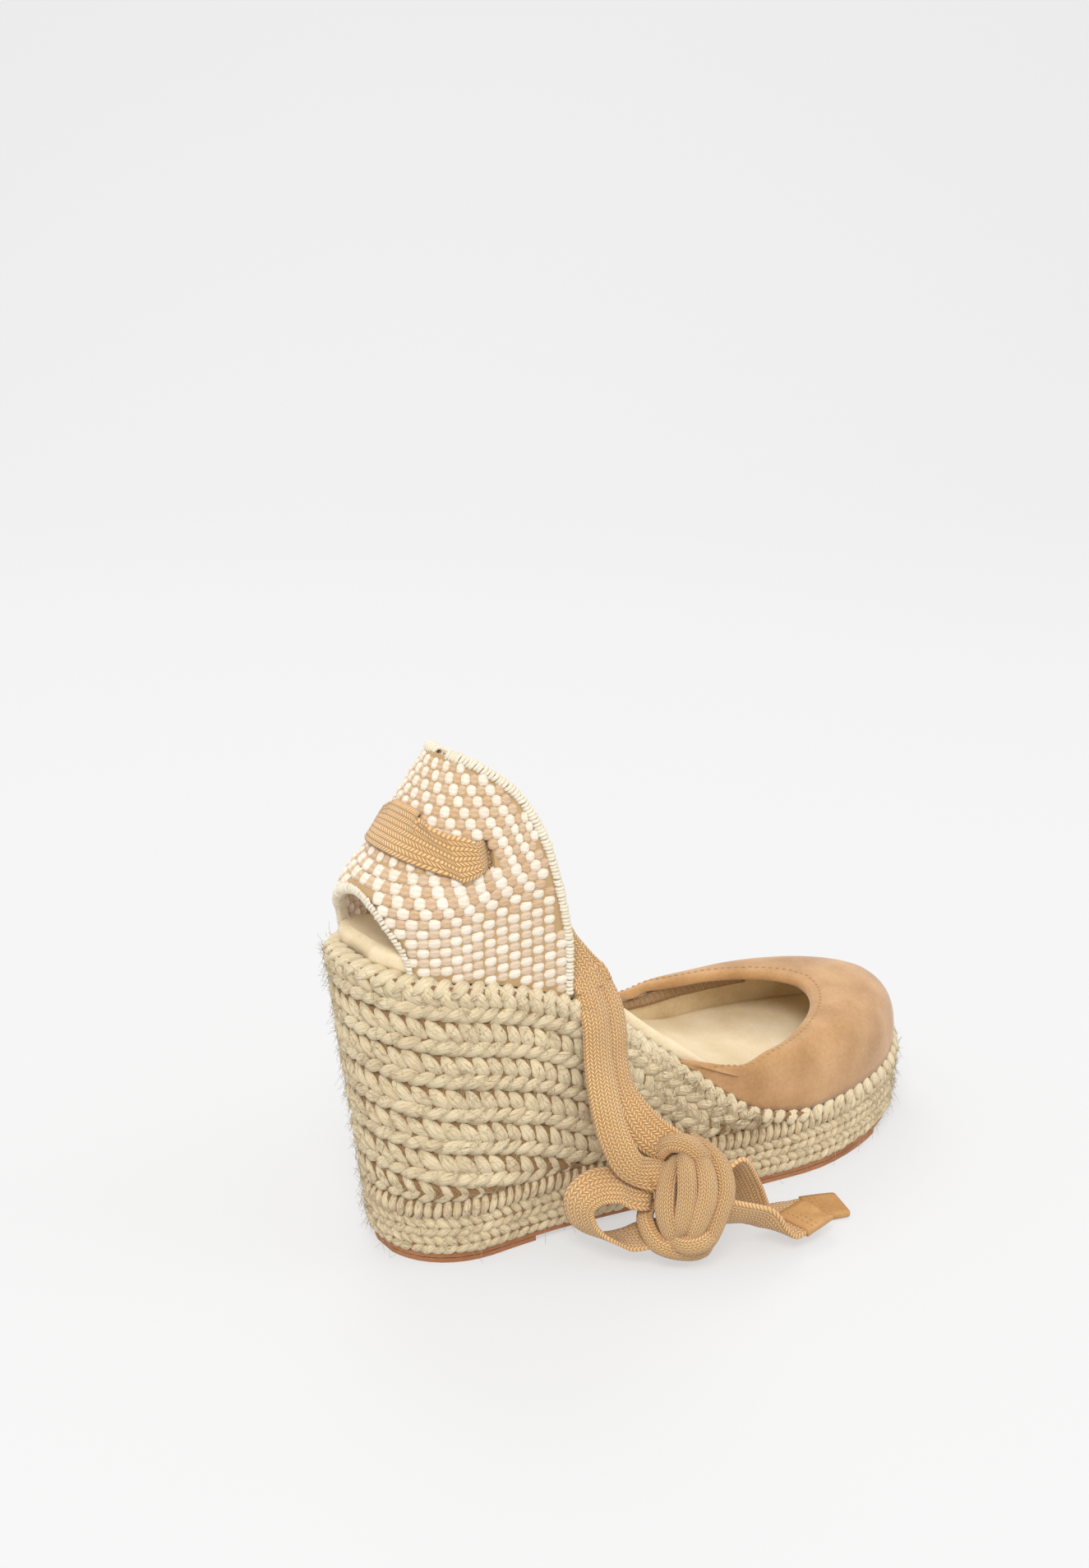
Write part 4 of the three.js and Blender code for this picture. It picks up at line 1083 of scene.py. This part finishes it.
# The tie's routes: (point, direction across the tape). The leads lie still in the cup; the cords
# hang from where the leads end.
NEAR_LEAD = [
    ((57.5, -24.4, 109.5), (0.35, 0, 0.9)), ((60.2, -24.1, 106), (0.6, 0, 0.78)),
    ((62.6, -23.8, 102.6), (0.75, 0, 0.65)), ((65, -23.5, 99), (0.83, 0, 0.55)),
    ((68, -23.6, 94.6), (0.92, 0, 0.38)), ((70.9, -25.1, 89.6), (0.95, 0, 0.28)),
    ((71.4, -26.9, 87.2), (0.96, 0, 0.24)), ((71.7, -29.4, 83.9), (0.97, 0, 0.2))]
NEAR_DROP = [
    ((71.4, -26.9, 87.2), (0.96, 0, 0.24)), ((71.6, -30.4, 82.4), (0.98, 0, 0.18)),
    ((71, -34.6, 75.5), (1, 0, 0.12)), ((70.4, -37, 63), (1, -0.05, 0.1)),
    ((70, -41, 50), (0.97, -0.2, 0.15)), ((70.5, -45.8, 39), (0.92, -0.35, 0.2)),
    ((74.5, -50.5, 30), (0.8, -0.5, 0.35))]
FAR_LEAD = [
    ((44.2, 23.6, 128.5), (0.1, 0, 1)), ((46.4, 21.6, 127), (0.1, 0, 1)),
    ((50.5, 16.5, 124.6), (0.1, 0, 1)), ((56, 6, 119), (0.3, 0, 0.95)),
    ((62, -5, 110), (0.5, 0, 0.85)), ((67.5, -12, 101), (0.7, 0, 0.7)),
    ((71.5, -17, 94), (0.8, 0, 0.55)), ((75, -22.2, 88.4), (0.9, 0, 0.36)),
    ((76.6, -24, 86.7), (0.94, 0, 0.3)), ((77.3, -26.5, 83.6), (0.95, 0, 0.28))]
FAR_DROP = [
    ((76.6, -24, 86.7), (0.94, 0, 0.3)), ((77.6, -27.5, 82.5), (0.95, 0, 0.26)),
    ((78, -31.8, 77), (0.98, 0, 0.2)), ((78.2, -34, 69), (1, 0, 0.12)),
    ((77.8, -35, 60.5), (1, 0, 0.1)), ((77.8, -37.8, 52), (0.98, -0.1, 0.1)),
    ((79.5, -42.6, 44.5), (0.95, -0.2, 0.2)), ((83, -47, 38.4), (0.85, -0.3, 0.4))]
BOW_LOOP = [
    ((75.5, -49.5, 22.5), (-0.1, -0.8, -0.6)), ((70, -46.5, 25), (-0.1, -0.8, -0.6)),
    ((63.5, -43.8, 24.8), (0, -0.85, -0.5)), ((58.8, -42.3, 20.5), (0.15, -0.93, -0.3)),
    ((59.5, -43, 13.5), (0.25, -0.96, 0)), ((64.5, -45.5, 8.4), (0.3, -0.95, 0.05)),
    ((72, -49.5, 7), (0.25, -0.95, 0.1))]
NEAR_TAIL = [
    ((107.3, -56.5, 25), (0.3, -0.75, 0.5)), ((114.5, -55.2, 15), (0.4, -0.8, 0.3)),
    ((119, -55.4, 6.5), (0.3, -0.9, 0.1)), ((125, -56.4, 2), (0.15, -0.98, 0)),
    ((133, -58.8, 1.15), (0.3, -0.95, 0)), ((138.6, -60.7, 1.15), (0.34, -0.94, 0))]
FAR_TAIL = [
    ((107.5, -70, 13), (0.5, -0.7, 0.45)), ((113, -71, 8), (0.3, -0.9, 0.2)),
    ((118, -71, 5.2), (-0.05, -0.99, 0)), ((123.2, -70.3, 5), (-0.15, -0.98, 0))]
KNOT_CENTRE = V(88.5, -60, 20)
# The knot's own directions: along its bow, up its face and out of its face.
KNOT_RIGHT, KNOT_UP = V(0.826, -0.563, 0), V(0.167, 0.244, 0.955)
KNOT_OUT = V(-0.538, -0.789, 0.296)


def in_knot(a, b, c):
    return KNOT_CENTRE + KNOT_RIGHT * a + KNOT_UP * b + KNOT_OUT * c


def across_knot(a, b, c):
    return KNOT_RIGHT * a + KNOT_UP * b + KNOT_OUT * c


def cords():
    """The tape's two ends, each from where it leaves the seat through the knot to its tip."""
    near = NEAR_DROP + [
        (in_knot(-4, 8, 1), across_knot(-0.6, 0.5, -0.6)),
        (in_knot(-3, 2, 3), across_knot(-0.2, 0.6, -0.7)),
        (in_knot(-7, 3.5, 0), across_knot(0, 0.6, -0.6))] + BOW_LOOP + [
        (in_knot(-6, -9, 0), across_knot(0.2, -0.4, 0.9)),
        (in_knot(2, -5, -3), across_knot(0.1, 0.3, 0.9)),
        (in_knot(8, 3, -5), across_knot(0.2, 0.5, 0.8))] + NEAR_TAIL
    far = FAR_DROP + [
        (in_knot(1, 11, -2), across_knot(0.7, 0.4, 0.5)),
        (in_knot(4, 3, -1), across_knot(0.5, 0.6, 0.6)),
        (in_knot(9, -3, 1), across_knot(0.2, 0.7, 0.6))] + FAR_TAIL
    gather = profile([(0, 9.8), (0.28, 10.2), (0.45, 12.6), (0.8, 12), (1, 12.6)])
    made = []
    for name, route, count, nodes in (
            ("near_cord", near, 420, ("near_strand", "bow_loop", "near_tail")),
            ("far_cord", far, 260, ("far_strand", "far_tail"))):
        obj, path = ribbon(name, route, count, gather, fold=0.45)
        made.append((settle(obj, "tie", "cotton_tape", *nodes), path))
    return made


def knot():
    """The wraps that show on the knot, each a folded run of tape, over its packed middle."""
    wraps = [
        ((-2, 16, -4), (-7, 9.5, 4), (-8.6, -1, 6.5), (-6.4, -10.5, 5), (-2, -15, -3)),
        ((-2.5, 18, -3), (-1.6, 12, 6.4), (-1.4, 3, 8.4), (-3, -7, 7.4), (-6, -14, 0)),
        ((-1, 19, -5), (4.2, 12, 5.6), (5, 3, 8.8), (1.4, -8, 8), (-3, -16, 1)),
        ((1, 19.6, -6), (9, 14, 1), (11.6, 5, 4.6), (8.6, -5, 6.6), (5.4, -13, 4.6), (1.5, -16.8, -2)),
        ((-13.5, 0, -4), (-15.4, -6, 0), (-11.6, -13, 4), (-3.5, -16, 4.4), (4, -16.4, 1), (8, -13, -6)),
        ((-12, 12, -6), (-7.4, 18.6, 0), (-1, 19, 3.4), (4.6, 14.4, 3), (9, 8, -2)),
        ((-9, -9, 0), (-4, -13, 6.6), (3, -12.4, 8), (8.4, -8.4, 4), (11, -2, -2))]

    def wrap_width(share):
        return 3.4 + 3 * math.sin(math.pi * min(1, max(0, share))) ** 0.8

    parts = []
    for k, wrap_points in enumerate(wraps):
        route = []
        for i, p in enumerate(wrap_points):
            a, b = wrap_points[max(0, i - 1)], wrap_points[min(len(wrap_points) - 1, i + 1)]
            ahead = (in_knot(*b) - in_knot(*a)).normalized()
            out = across_knot(p[0] * 0.5, p[1] * 0.5, 7 + p[2]).normalized()
            route.append((in_knot(*p), ahead.cross(out)))
        obj, _ = ribbon("wrap", route, 80, wrap_width, thick=2.6, fold=-0.3, shift=40 * k)
        parts.append(obj)
    points, uvs = [], []
    rings, around = 14, 24
    for a in ramp(0.03, 0.97, rings):
        a *= math.pi
        for j in range(around):
            b = 2 * math.pi * j / around
            swell = math.sin(a) * (1 + 0.07 * math.sin(3 * b + 2 * a))
            x, y = 6.4 * math.cos(b) * swell, 12 * math.cos(a)
            points.append(in_knot(x, y, 3.4 * math.sin(b) * swell - 1.2))
            uvs.append((x, y))
    parts.append(mesh_object("wrap", points, tube_faces(rings, around), uvs, TAPE))
    return settle(join("knot_wraps", parts), "tie", "cotton_tape", "bow_knot")


def join(name, parts):
    bm = bmesh.new()
    for part in parts:
        bm.from_mesh(part.data)
    mesh = bpy.data.meshes.new(name)
    mesh.materials.append(parts[0].data.materials[0])
    bm.to_mesh(mesh)
    bm.free()
    smooth(mesh)
    for part in parts:
        bpy.data.objects.remove(part)
    return put(name, mesh)


def leather_tip(name, route, node, curl):
    """A leather tab folded over the end of the tape, with two rows of stitches."""
    end, before = Vector(route[-1][0]), Vector(route[-2][0])
    ahead = V(end.x - before.x, end.y - before.y, 0).normalized()
    side = V(-ahead.y, ahead.x, 0)
    reach, start, half_width = 12.6, 1.2, 6.9

    def middle(t):
        return end.z + curl * (0.6 * math.sin(5 * t) + 1.6 * t * t) + 0.25

    def wave(a, t):
        return curl * 0.7 * math.sin(3.2 * a + 6 * t) * t

    sections, uvs = [], []
    for t in ramp(0, 1, 22):
        centre = end + ahead * (reach * t - start)
        centre.z = middle(t)
        half = half_width * (1 if t < 0.93 else math.sqrt(max(0.1, 1 - ((t - 0.93) / 0.075) ** 2 * 0.2)))
        thick = mix(1.15, 0.8, t ** 3)
        loop, coords = [], []
        for face in (1, -1):
            for a in (-1, -0.97, -0.7, -0.35, 0, 0.35, 0.7, 0.97, 1)[::face]:
                edge = 0.45 if abs(a) > 0.98 else 1
                loop.append(centre + side * (a * half) + V(0, 0, face * thick * edge + wave(a, t)))
                coords.append((a * half, 12 * t))
        sections.append(loop)
        uvs.append(coords)
    obj = settle(loft(name, sections, uvs, TIP_SKIN), "tie", "tip_leather", node)
    points, outs, breaks = [], [], []
    for row in (1.6, 3.4):
        breaks.append(len(points))
        t = (row + start) / reach
        for a in ramp(-0.86, 0.86, 15):
            p = end + ahead * row + side * (half_width * a)
            p.z = middle(t) + 1.17 + wave(a, t)
            points.append(p)
            outs.append(V(0, 0, 1))
    stitch = lobe("shape_tip_stitch", 1.5, 0.5, 0.45, around=8, steps=5, ridge=0, tuck=0.5)
    guide = guide_object(points, outs, breaks=breaks)
    seam = lay(name + "_stitches", [(guide, {})], stitch, THREAD, 1.9, 0.05)
    return obj, settle(seam, "tie", "tip_leather")


# ---- putting it together ----
for mat, names in (
        (RUBBER_SKIN, ["outsole_sheet", "heel_tread", "forefoot_tread"]),
        # The plait's core rows take the darker jute: painted shade in the gaps between the lobes.
        (JUTE_GROUND_PAINTED_SHADE, [f"wedge_braid_{k + 1}" for k in range(WEDGE_ROWS)]
         + ["base_braid_lower", "base_braid_upper", "base_stitched_row"]),
        (CORE_SKIN, ["platform_core", "wedge_core", "insole_board", "footbed_foam", "toe_puff"]),
        (COUNTER_GROUND, ["heel_counter"]),
        (EDGE_YARN, ["counter_edge_binding", "cutout_edge_binding"])):
    for name in names:
        mesh = frame["nodes"][name].data
        mesh.materials.clear()
        mesh.materials.append(mat)
jute_rows()
seat_edge()
stray_fibres()
insole()
vamp()
counter_weave()
overcast()
tie_band()
for name, route, count in (("near_lead", NEAR_LEAD, 80), ("far_lead", FAR_LEAD, 120)):
    tape, _ = ribbon(name + "_tape", route, count, lambda share: mix(12.6, 9.6, share), 1.0)
    settle(tape, "sandal", "cotton_tape", name)
(near_cord, near_path), (far_cord, far_path) = cords()
knot_piece = knot()
near_tab = leather_tip("near_tip_tab", NEAR_TAIL, "near_tip", 0.0)
far_tab = leather_tip("far_tip_tab", FAR_TAIL, "far_tip", 1.0)


def declare(path):
    route = even(path, 36)[0]


declare(near_path)
declare(far_path)


# ---- stage, light and camera ----
def sweep():
    """A pale floor that curves up into a wall."""
    flat, radius, top = 1.2, 0.9, 4.0
    bend = [math.pi / 2 * i / 12 for i in range(1, 13)]
    run = [(-3.0, 0.0), (flat, 0.0)]
    run += [(flat + radius * math.sin(a), radius - radius * math.cos(a)) for a in bend]
    run += [(flat + radius, top)]
    ahead, side = Vector((0.5635, 0.8261, 0)), Vector((0.8261, -0.5635, 0))
    points = []
    for d, z in run:
        for w in (-4, 4):
            p = ahead * d + side * w
            points.append((p.x, p.y, z - 0.0001))
    faces = [(2 * i, 2 * i + 1, 2 * i + 3, 2 * i + 2) for i in range(len(run) - 1)]
    mesh = bpy.data.meshes.new("floor_sweep")
    mesh.from_pydata(points, [], faces)
    smooth(mesh)
    mat, _, skin = material("pale_floor", 0.85)
    skin.inputs["Base Color"].default_value = (0.26, 0.26, 0.26, 1)
    skin.inputs["Emission Color"].default_value = (1, 1, 1, 1)
    skin.inputs["Emission Strength"].default_value = 0.53
    mesh.materials.append(mat)
    put("floor_sweep", mesh)


def area(name, place, size, power):
    """A round light that faces the sandal."""
    light = bpy.data.lights.new(name, "AREA")
    light.shape = "DISK"
    light.size = size
    light.energy = power
    obj = put(name, light)
    obj.location = place
    obj.rotation_euler = (Vector((0, 0, 0.05)) - Vector(place)).to_track_quat("-Z", "Y").to_euler()


sweep()
area("key", (-0.9, -1.0, 1.6), 0.9, 22)
area("fill", (1.3, -1.1, 0.9), 1.2, 6)
area("back", (0.3, 1.2, 1.6), 1.0, 8)
scene = bpy.context.scene
world_light = bpy.data.worlds.new("soft_room")
world_light.use_nodes = True
room = world_light.node_tree.nodes["Background"].inputs
room["Color"].default_value = (1, 1, 1, 1)
room["Strength"].default_value = 0.9
scene.world = world_light
scene.view_settings.view_transform = "Standard"
scene.view_settings.look = "None"

lens = bpy.data.cameras.new("camera")
lens.lens = 44.62
lens.sensor_width = 36
camera = put("camera", lens)
azimuth, elevation, distance = math.radians(-34.3), math.radians(17.2), 0.8881
target = Vector((0.1112, 0.2204, 0.060))
back = Vector((math.sin(azimuth) * math.cos(elevation), -math.cos(azimuth) * math.cos(elevation),
               math.sin(elevation)))
camera.location = target + back * distance
camera.rotation_euler = (-back).to_track_quat("-Z", "Y").to_euler()
scene.camera = camera
scene.render.engine = "CYCLES"
scene.cycles.samples = 96
scene.cycles.use_denoising = True
scene.render.resolution_x, scene.render.resolution_y = 1325, 1907

for shape in [o for o in bpy.data.objects if o.name.startswith("shape_")]:
    bpy.data.objects.remove(shape)
